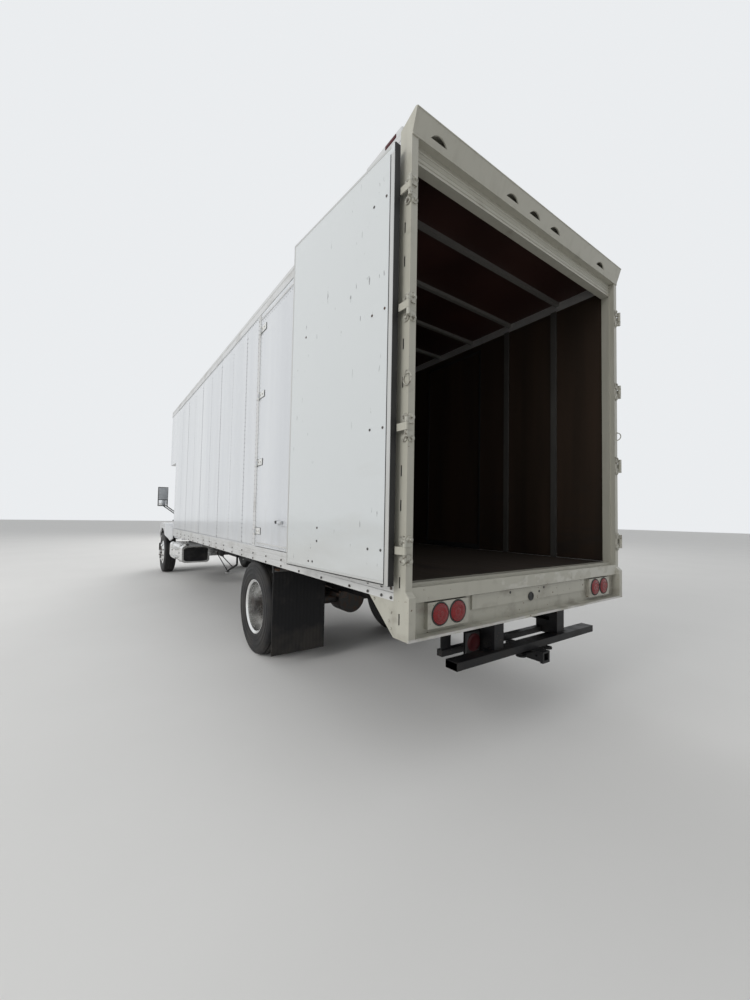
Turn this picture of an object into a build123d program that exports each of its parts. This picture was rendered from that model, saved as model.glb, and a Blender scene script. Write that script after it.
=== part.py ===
from build123d import *
import os
from math import cos, radians, sin

os.makedirs("parts", exist_ok=True)

# Box truck with a conventional cab, a sheet-and-post van body with an attic over the cab, and
# swing doors. Millimetres. +X is the truck's left, -Y its front, +Z up, the ground is Z = 0.
# A distance "ahead" is measured forward from the rear face of the body's rear frame.

# Running gear
TYRE_RADIUS = 518
TYRE_WIDTH = 276
RIM_RADIUS = 286
RIM_WIDTH = 234
RIM_WALL = 18
DISC_OFFSET = 165
DISC_WALL = 22
DISC_EDGE = 190
HUB_RADIUS = 85
PILOT_RADIUS = 118
CAP_RADIUS = 62
HAND_HOLES = 10
HAND_HOLE_RADIUS = 24
DUAL_SPACING = 330
REAR_OUTER_TYRE = 1238
FRONT_OUTER_TYRE = 1200
DRUM_RADIUS = 217
SPINDLE_RADIUS = 35
REAR_SPINDLE_RADIUS = 45
AXLE_TUBE_RADIUS = 68
KINGPIN_X = 890
KINGPIN_RADIUS = 22
BEAM_HALF_DEPTH = 45
BEAM_EYE_RADIUS = 50
BEAM_EYE_HALF = 55
STEER_ARM = 170
TIE_PIN_RADIUS = 12
TIE_ROD_RADIUS = 18
TIE_ROD_DROP = 108
RUNNING_FIT = 0.05
FIT = 0.3
GAP = 6

# Places along the truck
REAR_AXLE = 2750
WHEELBASE = 7450
FRONT_AXLE = REAR_AXLE + WHEELBASE
FRONT_OVERHANG = 953
BUMPER_FACE = FRONT_AXLE + FRONT_OVERHANG
RECEIVER_REACH = 67
LENGTH = BUMPER_FACE + RECEIVER_REACH
REAR = LENGTH / 2 - RECEIVER_REACH
CAB_FRONT = FRONT_AXLE - TYRE_RADIUS - 92
CAB_LENGTH = 1140
CAB_BACK = CAB_FRONT - CAB_LENGTH
BODY_GAP = 500
BODY_FRONT = CAB_BACK - BODY_GAP
ATTIC_REACH = 200
ATTIC_FRONT = CAB_BACK + ATTIC_REACH
HOOD_REAR = CAB_FRONT + 2 * GAP
HOOD_FRONT = BUMPER_FACE - 93

# Chassis rails
RAIL_OUTER = 432
RAIL_FLANGE = 76
RAIL_SHEET = 8
RAIL_BOTTOM = TYRE_RADIUS + 202
RAIL_HEIGHT = 255
RAIL_TOP = RAIL_BOTTOM + RAIL_HEIGHT
RAIL_FRONT = HOOD_FRONT - 210
RAIL_REAR = 150
HORN_X = (340, 376)
HORN_BOTTOM = RAIL_BOTTOM - 160

# Van body: sides, floor, rails and roof
HALF_WIDTH = 1295
WALL = 40
SKIN_STEP = 5
SILL_BOTTOM = RAIL_TOP + 86
FLOOR_TOP = SILL_BOTTOM + 108
FLOOR_BOARD = 34
EDGE_DROP = 4
RAIL_STRIP = 149
INSIDE_HEIGHT = 2631
TOP_RAIL_BOTTOM = FLOOR_TOP + INSIDE_HEIGHT
TOP_RAIL_HEIGHT = 130
TOP_RAIL_TOP = TOP_RAIL_BOTTOM + TOP_RAIL_HEIGHT
GROOVE = 4
ATTIC_HEIGHT = 1142
ATTIC_FLOOR = TOP_RAIL_BOTTOM - ATTIC_HEIGHT
ATTIC_FLOOR_THICK = 50
ROOF_DROP = 40
ROOF_UNDER = TOP_RAIL_TOP - ROOF_DROP
ROOF_SHEET = 15
ROOF_CROWN = 15
WALL_POST = (20, 60)
POST_PITCH = 600
POST_FIRST = 580
BOW_FIRST = 570
BOW_DEPTH = 38

# Rear frame
POST_DEPTH = 108
POST_WIDTH = 50
POST_FOOT = SILL_BOTTOM - 210
FOOT_PROUD = 33
STOP_DEPTH = 42
PLATE = 8
OPENING_TOP = TOP_RAIL_BOTTOM - 79
STEP_HEIGHT = OPENING_TOP + 114
HEADER_TOP = TOP_RAIL_TOP + 51
HEADER_LEAN = 45
GUSSET_REACH = 357
SLOT_HEIGHTS = [966, 1177, 1623, 1826, 2351, 2581, 3082, 3290]
SLOT = (12, 65)
MARKER_PLACES = [1088, 348, 70, -208, -948]
MARKER_HALF = 70
MARKER_RISE = 35
MARKER_LOW = STEP_HEIGHT + 43
CHANNEL_DEPTH = 35
SILL_STEP = FLOOR_TOP - 19
SILL_LIP = 16
LAMP_BOX = (768, 1118)
LAMP_BOX_HEIGHT = (SILL_BOTTOM - 168, SILL_BOTTOM - 11)
LAMP_PLACES = [864, 1015]
LAMP_RADIUS = 67
BAND_HALF = 710
BAND_PROUD = 15

# Rear doors and their hinges
DOOR_THICK = 40
DOOR_PROUD = 6
DOOR_BOTTOM = FLOOR_TOP - 11
DOOR_TOP = STEP_HEIGHT - 45
DOOR_SWING = 265.5
HINGE_ENDS = (206, 290)
HINGES = 4
HINGE_PIN_RADIUS = 6
HINGE_KNUCKLE = 12
HINGE_OUT = 22
HINGE_BACK = 14
HINGE_STRAP_HALF = 22
HINGE_LUG_HALF = 62
LEAF = 8
STRAP_THICK = 8
STRAP_LENGTH = 250
ROD_X = 400
ROD_RADIUS = 13.5
ROD_STAND = 22
LOCK_GUIDES = 5
LATCH_RISE = 300

# Side doors
SIDE_DOOR_REAR = 1620
SIDE_DOOR_FRONT = 2570
SIDE_DOOR_TOP = TOP_RAIL_BOTTOM - 80
SIDE_HINGE_ENDS = (163, 107)
SIDE_STRAP = 150
SIDE_KNUCKLE = 11
SIDE_PIN_OUT = 12

# Cab
CAB_HALF = 1020
CAB_WALL = 50
CAB_SILL = RAIL_TOP - 45
TUNNEL_HALF = 520
TUNNEL_TOP = RAIL_TOP + 45
CAB_FLOOR = TUNNEL_TOP + CAB_WALL
BELT = CAB_SILL + 670
SHOULDER_HALF = 930
SHOULDER = BELT + 770
ROOF_HALF = 850
CAB_ROOF = SHOULDER + 90
CAB_CROWN = 30
SCREEN_RAKE = 345
GLASS = 6
CAB_PIN_OUT = 12
CAB_KNUCKLE = 10

# Hood and bumper
HOOD_SKIN = 30
HOOD_HALF = (1035, 820)
HOOD_BOTTOM = RAIL_TOP - 175
FENDER_HALF = 1215
ARCH_RADIUS = TYRE_RADIUS + 122
PIVOT_AHEAD = HOOD_FRONT - 70
PIVOT_HEIGHT = RAIL_BOTTOM + 100
PIVOT_LUG = 20
PIVOT_PIN = 8
HOOD_LUG = (300, 334)
BUMPER_HALF = 1200
BUMPER_FLAT = 850
BUMPER_BEND = (1150, 90)
BUMPER_TOP = RAIL_BOTTOM - 5
BUMPER_BOTTOM = RAIL_BOTTOM - 290
BUMPER_SHEET = 8
BUMPER_CLEAR = 105


def ahead(distance):
    """Y of a place this far ahead of the rear frame's rear face."""
    return REAR - distance


def block(x, y, z):
    """A box from its two limits along each axis."""
    size = [abs(side[1] - side[0]) for side in (x, y, z)]
    middle = [(side[0] + side[1]) / 2 for side in (x, y, z)]
    return Pos(*middle) * Box(*size)


def bar(x, distance, z):
    """A box whose place along the truck is given as distances ahead."""
    return block(x, (ahead(distance[0]), ahead(distance[1])), z)


def outline(points, radii):
    """A face from corners, with a radius at each or one for all."""
    return make_face(FilletPolyline(*points, radius=radii, close=True))


def along_x(points, limits, radii=0):
    """A profile of (y, z) corners carried across the truck between two x limits."""
    plane = Plane(origin=(limits[0], 0, 0), x_dir=(0, 1, 0), z_dir=(1, 0, 0))
    return extrude(plane * outline(points, radii), limits[1] - limits[0], dir=(1, 0, 0))


def side_profile(points, limits, radii=0):
    """A profile of (distance ahead, z) corners carried across the truck."""
    return along_x([(ahead(distance), height) for distance, height in points], limits, radii)


def along_y(points, distances, radii=0):
    """A profile of (x, z) corners carried along the truck between two distances ahead."""
    start, end = min(distances), max(distances)
    plane = Plane(origin=(0, ahead(start), 0), x_dir=(1, 0, 0), z_dir=(0, -1, 0))
    return extrude(plane * outline(points, radii), end - start, dir=(0, -1, 0))


def along_z(points, heights, radii=0):
    """A plan of (x, y) corners carried upward between two heights."""
    plane = Plane(origin=(0, 0, heights[0]))
    return extrude(plane * outline(points, radii), heights[1] - heights[0], dir=(0, 0, 1))


def rod(start, end, radius):
    """A round bar between two points."""
    run = Vector(*end) - Vector(*start)
    return extrude(Plane(origin=start, z_dir=run) * Circle(radius), run.length, dir=run.normalized())


def pin(place, heights, radius):
    """An upright round bar at an (x, y) place."""
    return rod((*place, heights[0]), (*place, heights[1]), radius)


def mirrored(shape):
    """The same piece on the truck's other side."""
    return mirror(shape, about=Plane.YZ)


def both(shape):
    """A piece and its mirror image, which do not touch."""
    return Compound(children=[*shape.solids(), *mirrored(shape).solids()])


def together(shapes):
    """Pieces that do not touch, as one."""
    return Compound(children=[solid for shape in shapes for solid in shape.solids()])


def save(name, shape):
    """Write one piece."""
    solids = shape.solids()
    export_step(solids[0] if len(solids) == 1 else Compound(children=solids), f"parts/{name}.step")


def spread(first, last, count):
    """Evenly spaced places from first to last."""
    return [first + (last - first) * n / (count - 1) for n in range(count)]


def turned(points, centre_x, y):
    """A profile of (along the axle, radius) corners spun about an axle."""
    face = Plane(origin=(centre_x, y, TYRE_RADIUS), x_dir=(1, 0, 0), z_dir=(0, -1, 0)) * outline(points, 0)
    return revolve(face, Axis((centre_x, y, TYRE_RADIUS), (1, 0, 0)), 360)


def axle_rod(limits, y, radius):
    """A round piece on an axle's line, between two x limits."""
    return rod((limits[0], y, TYRE_RADIUS), (limits[1], y, TYRE_RADIUS), radius)


def tyre(centre_x, y):
    """A tyre: a ring with flat sides and tread, on the rim."""
    half = TYRE_WIDTH / 2
    return turned([(-half, RIM_RADIUS + FIT), (half, RIM_RADIUS + FIT), (half, TYRE_RADIUS),
                   (-half, TYRE_RADIUS)],
                  centre_x, y)


def rim(centre_x, y, way, holes):
    """A disc wheel: barrel, then cone and flat disc on the side that way points to."""
    edge = RIM_WIDTH / 2
    inner = RIM_RADIUS - RIM_WALL
    wheel = turned([(way * s, r) for s, r in
                    ((-edge, RIM_RADIUS), (edge, RIM_RADIUS), (edge, inner), (DISC_OFFSET, DISC_EDGE),
                     (DISC_OFFSET, PILOT_RADIUS), (DISC_OFFSET - DISC_WALL, PILOT_RADIUS),
                     (edge - DISC_WALL, inner), (-edge, inner))], centre_x, y)
    circle = (DISC_EDGE + inner) / 2
    cuts = [Pos(0, y, TYRE_RADIUS) * Rot(X=360 * n / holes)
            * rod((centre_x + way * (edge - DISC_WALL), 0, circle), (centre_x + way * DISC_OFFSET, 0, circle),
                  HAND_HOLE_RADIUS) for n in range(holes)]
    return wheel - cuts if cuts else wheel


def lug(place, sideways, seat, reach, radius, heights):
    """A hinge's fixed half: a leaf on a face that lies seat from the pin, rolled round the pin."""
    points = [(-reach, -seat), (0, -seat), (0, -radius), (radius, -radius), (radius, radius),
              (-radius, radius),
              (-radius, LEAF - seat), (-reach, LEAF - seat)]
    plan = [(place[0] + a, place[1] + b) if sideways else (place[0] + b, place[1] + a) for a, b in points]
    rolled = 0.99 * radius
    return along_z(plan, heights, [0, 0, 0, rolled, rolled, rolled, 0, 0])


def hinge_butt(place, sideways, seat, reach, radius, height, strap_half, half):
    """Two lugs above and below a door's strap, with the pin between them."""
    butt = pin(place, (height - strap_half - 2, height + strap_half + 2), HINGE_PIN_RADIUS)
    for way in (1, -1):
        limits = sorted((height + way * (strap_half + 1), height + way * half))
        butt += lug(place, sideways, seat, reach, radius, limits)
    return butt


# Front wheels: convex discs outboard, hub with an oil cap, drum behind
front_y = ahead(FRONT_AXLE)
front_centre = FRONT_OUTER_TYRE - TYRE_WIDTH / 2
front_disc = front_centre + DISC_OFFSET
front_drum_open = front_centre - 61
front_flange = front_disc - DISC_WALL
front_hub = axle_rod((front_drum_open, front_disc), front_y, HUB_RADIUS)
front_hub += axle_rod((front_flange - 16, front_disc), front_y, PILOT_RADIUS)
front_hub += axle_rod((front_disc, front_disc + 48), front_y, CAP_RADIUS)
front_hub += axle_rod((front_drum_open, front_centre + 79), front_y, DRUM_RADIUS)
SPINDLE_TIP = front_centre + 60
front_wheel = rim(front_centre, front_y, 1, HAND_HOLES) + front_hub
front_wheel -= axle_rod((front_drum_open - 5, SPINDLE_TIP + 5), front_y, SPINDLE_RADIUS + RUNNING_FIT)
save("front_wheel_left", front_wheel)
save("front_wheel_right", mirrored(front_wheel))
front_tyre = tyre(front_centre, front_y)
save("front_tyre_left", front_tyre)
save("front_tyre_right", mirrored(front_tyre))

# Rear wheels: each side a pair of rims whose discs meet, on one hub
rear_y = ahead(REAR_AXLE)
outer_centre = REAR_OUTER_TYRE - TYRE_WIDTH / 2
inner_centre = outer_centre - DUAL_SPACING
disc_plane = inner_centre + DISC_OFFSET
rear_drum_open = inner_centre - 95
HUB_END = disc_plane + 130
rear_hub = axle_rod((rear_drum_open, HUB_END), rear_y, HUB_RADIUS)
rear_hub += axle_rod((disc_plane - DISC_WALL - 16, disc_plane + DISC_WALL), rear_y, PILOT_RADIUS)
rear_hub += axle_rod((HUB_END, HUB_END + 20), rear_y, HUB_RADIUS + 11)
rear_hub += axle_rod((rear_drum_open, disc_plane - DISC_WALL - 16), rear_y, DRUM_RADIUS)
REAR_SPINDLE_TIP = disc_plane + 60
rear_wheels = rim(inner_centre, rear_y, 1, 0) + rim(outer_centre, rear_y, -1, HAND_HOLES) + rear_hub
rear_wheels -= axle_rod((rear_drum_open - 5, REAR_SPINDLE_TIP + 5), rear_y, REAR_SPINDLE_RADIUS + RUNNING_FIT)
save("rear_wheels_left", rear_wheels)
save("rear_wheels_right", mirrored(rear_wheels))
rear_tyres = together([tyre(inner_centre, rear_y), tyre(outer_centre, rear_y)])
save("rear_tyres_left", rear_tyres)
save("rear_tyres_right", mirrored(rear_tyres))

# Chassis: two channel rails, crossmembers, front horns and engine feet, welded as one
flange_edge = RAIL_OUTER - RAIL_FLANGE
web = RAIL_OUTER - RAIL_SHEET
rail = along_y([(RAIL_OUTER, RAIL_BOTTOM), (RAIL_OUTER, RAIL_TOP), (flange_edge, RAIL_TOP),
                (flange_edge, RAIL_TOP - RAIL_SHEET), (web, RAIL_TOP - RAIL_SHEET),
                (web, RAIL_BOTTOM + RAIL_SHEET), (flange_edge, RAIL_BOTTOM + RAIL_SHEET),
                (flange_edge, RAIL_BOTTOM)], (RAIL_REAR, RAIL_FRONT))
horn = bar(HORN_X, (RAIL_FRONT - 250, BUMPER_FACE - BUMPER_SHEET), (HORN_BOTTOM, RAIL_BOTTOM))
chassis = rail + mirrored(rail) + horn + mirrored(horn)
CROSS_HEIGHT = (RAIL_BOTTOM + 140, RAIL_TOP - 20)
CROSS_HALF = 35
REAR_CROSSES = [220, REAR_AXLE - 1250, REAR_AXLE - 600]
FRONT_CROSSES = spread(REAR_AXLE + 700, CAB_BACK - 150, 5)
for place in REAR_CROSSES + FRONT_CROSSES:
    chassis += bar((-web, web), (place - CROSS_HALF, place + CROSS_HALF), CROSS_HEIGHT)
HORN_CROSS = (HOOD_FRONT - 160, HOOD_FRONT - 100)
CROSS_TOP = RAIL_BOTTOM - 30
chassis += bar((-HORN_X[0], HORN_X[0]), HORN_CROSS, (CROSS_TOP - 70, CROSS_TOP))
ENGINE_HALF = 300
ENGINE_REAR = CAB_FRONT + 190
ENGINE_FRONT = HOOD_FRONT - 280
for way in (1, -1):
    chassis += bar((way * ENGINE_HALF, way * web), (FRONT_AXLE + 50, FRONT_AXLE + 150),
                   (RAIL_BOTTOM + 50, RAIL_BOTTOM + 110))
    for place in (CAB_BACK + 150, CAB_FRONT - 190):
        chassis += bar((way * flange_edge, way * RAIL_OUTER), (place - 45, place + 45),
                       (RAIL_TOP, TUNNEL_TOP))
pivot = (ahead(PIVOT_AHEAD), PIVOT_HEIGHT)
HORN_LUG = (HORN_X[0] + 2, HORN_X[1] - 4)
for way in (1, -1):
    stand = rod((way * HORN_LUG[0], *pivot), (way * HORN_LUG[1], *pivot), PIVOT_LUG)
    stand += bar((way * HORN_LUG[0], way * HORN_LUG[1]), (PIVOT_AHEAD - 45, PIVOT_AHEAD - 14),
                 (RAIL_BOTTOM, PIVOT_HEIGHT + 12))
    stand += rod((way * (HOOD_LUG[0] - 6), *pivot), (way * HORN_LUG[1], *pivot), PIVOT_PIN)
    chassis += stand
save("chassis_frame", chassis)

ENGINE_HEIGHT = (RAIL_BOTTOM - 80, RAIL_BOTTOM + 650)
save("engine_block", bar((-ENGINE_HALF, ENGINE_HALF), (ENGINE_REAR, ENGINE_FRONT), ENGINE_HEIGHT))
save("radiator", bar((-330, 330), HORN_CROSS, (CROSS_TOP, BELT - 300)))

# Driveline: bell housing, gearbox, a two-piece shaft and its centre bearing
SHAFT_TOP = RAIL_BOTTOM + 80
SHAFT_RADIUS = 50
GEARBOX_REAR = CAB_BACK + 560
BEARING_AHEAD = FRONT_CROSSES[2]
BEARING_HEIGHT = RAIL_BOTTOM + 50
PINION_AHEAD = REAR_AXLE + 330
PINION_HEIGHT = TYRE_RADIUS + 42
DRIVELINE = [
    # start ahead, start height, end ahead, end height, radius
    (ENGINE_REAR, SHAFT_TOP, ENGINE_REAR - 220, SHAFT_TOP, 195),
    (ENGINE_REAR - 210, SHAFT_TOP, GEARBOX_REAR, SHAFT_TOP, 150),
    (GEARBOX_REAR + 10, SHAFT_TOP, GEARBOX_REAR - 110, SHAFT_TOP, 65),
    (GEARBOX_REAR - 100, SHAFT_TOP, BEARING_AHEAD, BEARING_HEIGHT, SHAFT_RADIUS),
    (BEARING_AHEAD, BEARING_HEIGHT, PINION_AHEAD + 25, PINION_HEIGHT, SHAFT_RADIUS),
    (PINION_AHEAD + 45, PINION_HEIGHT, PINION_AHEAD, PINION_HEIGHT, 66),
    (BEARING_AHEAD - 30, BEARING_HEIGHT, BEARING_AHEAD + 30, BEARING_HEIGHT, 72),
]
driveline = bar((-60, 60), (BEARING_AHEAD - 25, BEARING_AHEAD + 25), (BEARING_HEIGHT, CROSS_HEIGHT[0]))
for start, start_height, end, end_height, radius in DRIVELINE:
    driveline += rod((0, ahead(start), start_height), (0, ahead(end), end_height), radius)
save("driveline", driveline)

# Rear axle: tubes, round banjo with pinion nose, spring pads, backing plates and spindles
SPRING_X = (385, 475)
SPRING_PAD = TYRE_RADIUS + 87
backing = rear_drum_open - 22
rear_half = axle_rod((0, backing), rear_y, AXLE_TUBE_RADIUS)
rear_half += axle_rod((backing - 20, REAR_SPINDLE_TIP), rear_y, REAR_SPINDLE_RADIUS)
rear_half += axle_rod((backing, backing + 10), rear_y, DRUM_RADIUS - 22)
rear_half += bar(SPRING_X, (REAR_AXLE - 60, REAR_AXLE + 60), (TYRE_RADIUS, SPRING_PAD))
rear_axle = rear_half + mirrored(rear_half)
rear_axle += rod((0, rear_y + 130, TYRE_RADIUS), (0, rear_y - 130, TYRE_RADIUS), 190)
rear_axle += rod((0, rear_y - 120, PINION_HEIGHT), (0, ahead(PINION_AHEAD), PINION_HEIGHT), 85)
save("rear_axle", rear_axle)

# Front axle: drop beam with an eye at each end for the kingpin
kingpin = (KINGPIN_X, front_y)
BEAM_LOW = TYRE_RADIUS - 118
BEAM_TOP = TYRE_RADIUS - 33
FRONT_PAD = BEAM_TOP + 20
eye_heights = (TYRE_RADIUS - BEAM_EYE_HALF, TYRE_RADIUS + BEAM_EYE_HALF)
beam = along_y([(0, BEAM_LOW), (600, BEAM_LOW), (760, eye_heights[0] + 5), (KINGPIN_X, eye_heights[0] + 5),
                (KINGPIN_X, eye_heights[1] - 5), (730, eye_heights[1] - 5), (560, BEAM_TOP), (0, BEAM_TOP)],
               (FRONT_AXLE - BEAM_HALF_DEPTH, FRONT_AXLE + BEAM_HALF_DEPTH))
beam += pin(kingpin, eye_heights, BEAM_EYE_RADIUS)
beam += bar(SPRING_X, (FRONT_AXLE - 60, FRONT_AXLE + 60), (BEAM_TOP, FRONT_PAD))
beam -= pin(kingpin, (eye_heights[0] - 5, eye_heights[1] + 5), KINGPIN_RADIUS + RUNNING_FIT)
save("front_axle", beam + mirrored(beam))

# Knuckles: a yoke round the beam's eye, kingpin, spindle, backing plate and steering arm
YOKE_GAP = 1
YOKE_HALF = 86
YOKE_WEB = 32
yoke = (KINGPIN_X + BEAM_EYE_RADIUS + 5, KINGPIN_X + BEAM_EYE_RADIUS + 5 + YOKE_WEB)
yoke_heights = (TYRE_RADIUS - YOKE_HALF, TYRE_RADIUS + YOKE_HALF)
knuckle = pin(kingpin, yoke_heights, KINGPIN_RADIUS)
for way in (1, -1):
    limits = sorted((TYRE_RADIUS + way * (BEAM_EYE_HALF + YOKE_GAP), TYRE_RADIUS + way * YOKE_HALF))
    knuckle += block((KINGPIN_X - 38, yoke[1]), (front_y - 38, front_y + 38), limits)
knuckle += block(yoke, (front_y - 60, front_y + 60), yoke_heights)
knuckle += axle_rod((yoke[1], SPINDLE_TIP), front_y, SPINDLE_RADIUS)
knuckle += axle_rod((yoke[1], yoke[1] + 8), front_y, DRUM_RADIUS - 32)
ARM_HEIGHT = (TYRE_RADIUS - YOKE_HALF, TYRE_RADIUS - YOKE_HALF + 22)
tie_eye = (KINGPIN_X, front_y + STEER_ARM)
knuckle += block((KINGPIN_X - 18, KINGPIN_X + 18), (front_y, front_y + STEER_ARM), ARM_HEIGHT)
knuckle += pin(tie_eye, ARM_HEIGHT, 26)
eye_cut = (ARM_HEIGHT[0] - 9, ARM_HEIGHT[1] + 9)
save("knuckle_left", knuckle - pin(tie_eye, eye_cut, TIE_PIN_RADIUS + RUNNING_FIT))
save("knuckle_right", mirrored(knuckle - pin(tie_eye, eye_cut, TIE_PIN_RADIUS + 1)))

# Tie rod: a bar under the two steering arms, with a pin up through each
tie_height = TYRE_RADIUS - TIE_ROD_DROP
tie_rod = rod((-KINGPIN_X, tie_eye[1], tie_height), (KINGPIN_X, tie_eye[1], tie_height), TIE_ROD_RADIUS)
for way in (1, -1):
    tie_rod += pin((way * KINGPIN_X, tie_eye[1]), (tie_height - TIE_ROD_RADIUS, ARM_HEIGHT[1] + 6),
                   TIE_PIN_RADIUS)
save("tie_rod", tie_rod)

# Leaf springs: a bowed pack, an eye at each end and its hanger under the rail, at each corner
SPRINGS = [
    # axle, half length, pad height, pack height, eye height
    (REAR_AXLE, 640, SPRING_PAD, 85, RAIL_BOTTOM - 48),
    (FRONT_AXLE, 640, FRONT_PAD, 70, RAIL_BOTTOM - 65),
]
SPRING_EYE = 28
springs = []
for axle, half, pad, pack, eye in SPRINGS:
    points = [(axle - half, eye - 12), (axle - half, eye + 12), (axle - 90, pad + pack),
              (axle + 90, pad + pack),
              (axle + half, eye + 12), (axle + half, eye - 12), (axle + 100, pad), (axle - 100, pad)]
    spring = side_profile(points, SPRING_X)
    for end in (axle - half, axle + half):
        spring += rod((SPRING_X[0], ahead(end), eye), (SPRING_X[1], ahead(end), eye), SPRING_EYE)
        spring += bar(SPRING_X, (end - 30, end + 30), (eye, RAIL_BOTTOM))
    springs.append(spring)
save("leaf_springs", both(together(springs)))

# Van floor: boards with a lower strip along each wall, on crossmembers and two long sills
wall_outer = HALF_WIDTH - SKIN_STEP
wall_inner = wall_outer - WALL
floor_front = BODY_FRONT - WALL
board_half = wall_inner - WALL_POST[0] - FIT
edge_top = FLOOR_TOP - EDGE_DROP
floor = bar((-board_half, board_half), (POST_DEPTH, floor_front), (FLOOR_TOP - FLOOR_BOARD, FLOOR_TOP))
floor += bar((-wall_inner, wall_inner), (POST_DEPTH, floor_front), (FLOOR_TOP - FLOOR_BOARD, edge_top))
for place in spread(POST_DEPTH + 30, floor_front - 30, 19):
    floor += bar((-wall_inner, wall_inner), (place - 30, place + 30), (SILL_BOTTOM, FLOOR_TOP - FLOOR_BOARD))
for way in (1, -1):
    floor += bar((way * flange_edge, way * RAIL_OUTER), (RAIL_REAR, floor_front), (RAIL_TOP, SILL_BOTTOM))
save("van_floor", floor)

# Side walls, each with a doorway, running on over the cab as the attic's sides
wall_bottom = SILL_BOTTOM + RAIL_STRIP
attic_end = ATTIC_FRONT - WALL
wall = side_profile([(POST_DEPTH, wall_bottom), (floor_front, wall_bottom), (floor_front, ATTIC_FLOOR),
                     (attic_end, ATTIC_FLOOR), (attic_end, TOP_RAIL_BOTTOM), (POST_DEPTH, TOP_RAIL_BOTTOM)],
                    (wall_inner, wall_outer))
wall -= bar((wall_inner - 5, wall_outer + 5), (SIDE_DOOR_REAR, SIDE_DOOR_FRONT),
            (wall_bottom - 5, SIDE_DOOR_TOP))
save("side_wall_left", wall)
save("side_wall_right", mirrored(wall))

# Wall posts: upright hat sections inside the walls, left out across the doorways
post_count = int((floor_front - POST_FIRST) / POST_PITCH) + 1
post_places = [POST_FIRST + POST_PITCH * n for n in range(post_count)]
posts = [bar((wall_inner - WALL_POST[0], wall_inner), (place, place + WALL_POST[1]),
             (edge_top, TOP_RAIL_BOTTOM))
         for place in post_places
         if place + WALL_POST[1] < SIDE_DOOR_REAR or SIDE_DOOR_FRONT < place < floor_front - WALL_POST[1]]
save("wall_posts", both(together(posts)))

# Aluminium rails: grooved bottom rails, top rails, and the top rail across the attic's front
bottom_points = [(wall_inner, SILL_BOTTOM), (HALF_WIDTH, SILL_BOTTOM)]
for low in (SILL_BOTTOM + 46, SILL_BOTTOM + 94):
    bottom_points += [(HALF_WIDTH, low), (HALF_WIDTH - GROOVE, low + GROOVE),
                      (HALF_WIDTH - GROOVE, low + 3 * GROOVE), (HALF_WIDTH, low + 4 * GROOVE)]
bottom_points += [(HALF_WIDTH, wall_bottom), (wall_inner, wall_bottom)]
bottom_rail = along_y(bottom_points, (POST_DEPTH, floor_front))
top_points = [(wall_inner, TOP_RAIL_BOTTOM), (HALF_WIDTH, TOP_RAIL_BOTTOM), (HALF_WIDTH, TOP_RAIL_TOP - 70),
              (HALF_WIDTH - GROOVE, TOP_RAIL_TOP - 66), (HALF_WIDTH - GROOVE, TOP_RAIL_TOP - 52),
              (HALF_WIDTH, TOP_RAIL_TOP - 48), (HALF_WIDTH, TOP_RAIL_TOP - 14),
              (HALF_WIDTH - 14, TOP_RAIL_TOP), (wall_inner, TOP_RAIL_TOP)]
top_rail = along_y(top_points, (POST_DEPTH, ATTIC_FRONT))
front_rail = bar((-wall_inner, wall_inner), (attic_end, ATTIC_FRONT), (TOP_RAIL_BOTTOM, TOP_RAIL_TOP))
save("body_rails", together([both(bottom_rail), top_rail + front_rail + mirrored(top_rail)]))

# Front walls: the bulkhead behind the cab, and the attic's floor and nose
save("bulkhead", bar((-wall_outer, wall_outer), (floor_front, BODY_FRONT), (SILL_BOTTOM, ATTIC_FLOOR)))
attic = bar((-wall_inner, wall_inner), (floor_front, attic_end),
            (ATTIC_FLOOR, ATTIC_FLOOR + ATTIC_FLOOR_THICK))
attic += bar((-wall_outer, wall_outer), (attic_end, ATTIC_FRONT), (ATTIC_FLOOR, TOP_RAIL_BOTTOM))
save("attic", attic)

# Roof: a crowned sheet on bows, between the top rails
roof = along_y([(-wall_inner, ROOF_UNDER), (wall_inner, ROOF_UNDER), (wall_inner, ROOF_UNDER + ROOF_SHEET),
                (0, ROOF_UNDER + ROOF_SHEET + ROOF_CROWN), (-wall_inner, ROOF_UNDER + ROOF_SHEET)],
               (POST_DEPTH, attic_end))
for n in range(int((attic_end - BOW_FIRST) / POST_PITCH) + 1):
    place = BOW_FIRST + n * POST_PITCH
    roof += bar((-wall_inner, wall_inner), (place - 20, place + 20), (ROOF_UNDER - BOW_DEPTH, ROOF_UNDER))
save("roof", roof)


def behind(points):
    """Corners of (distance behind the rear face, z) as corners of (y, z)."""
    return [(REAR + back, height) for back, height in points]


# Rear frame posts: proud feet at the bottom, a leaning top, stop strips, gussets and slots
post_inner = HALF_WIDTH - POST_WIDTH
head_points = [(0, STEP_HEIGHT), (HEADER_LEAN, HEADER_TOP - 11), (HEADER_LEAN - 7, HEADER_TOP),
               (HEADER_LEAN - 20, HEADER_TOP), (-POST_DEPTH, TOP_RAIL_TOP)]
foot_points = [(-POST_DEPTH, POST_FOOT), (FOOT_PROUD, POST_FOOT), (FOOT_PROUD, SILL_BOTTOM + 39),
               (0, SILL_BOTTOM + 69)]
post = along_x(behind(foot_points + head_points), (post_inner, HALF_WIDTH))
post += bar((post_inner - 15, post_inner), (STOP_DEPTH, POST_DEPTH), (FLOOR_TOP, OPENING_TOP))
post += side_profile([(POST_DEPTH, SILL_BOTTOM), (GUSSET_REACH, SILL_BOTTOM), (POST_DEPTH, POST_FOOT)],
                     (HALF_WIDTH - PLATE, HALF_WIDTH))
slot_places = (POST_DEPTH / 2 - SLOT[0] / 2, POST_DEPTH / 2 + SLOT[0] / 2)
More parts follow.
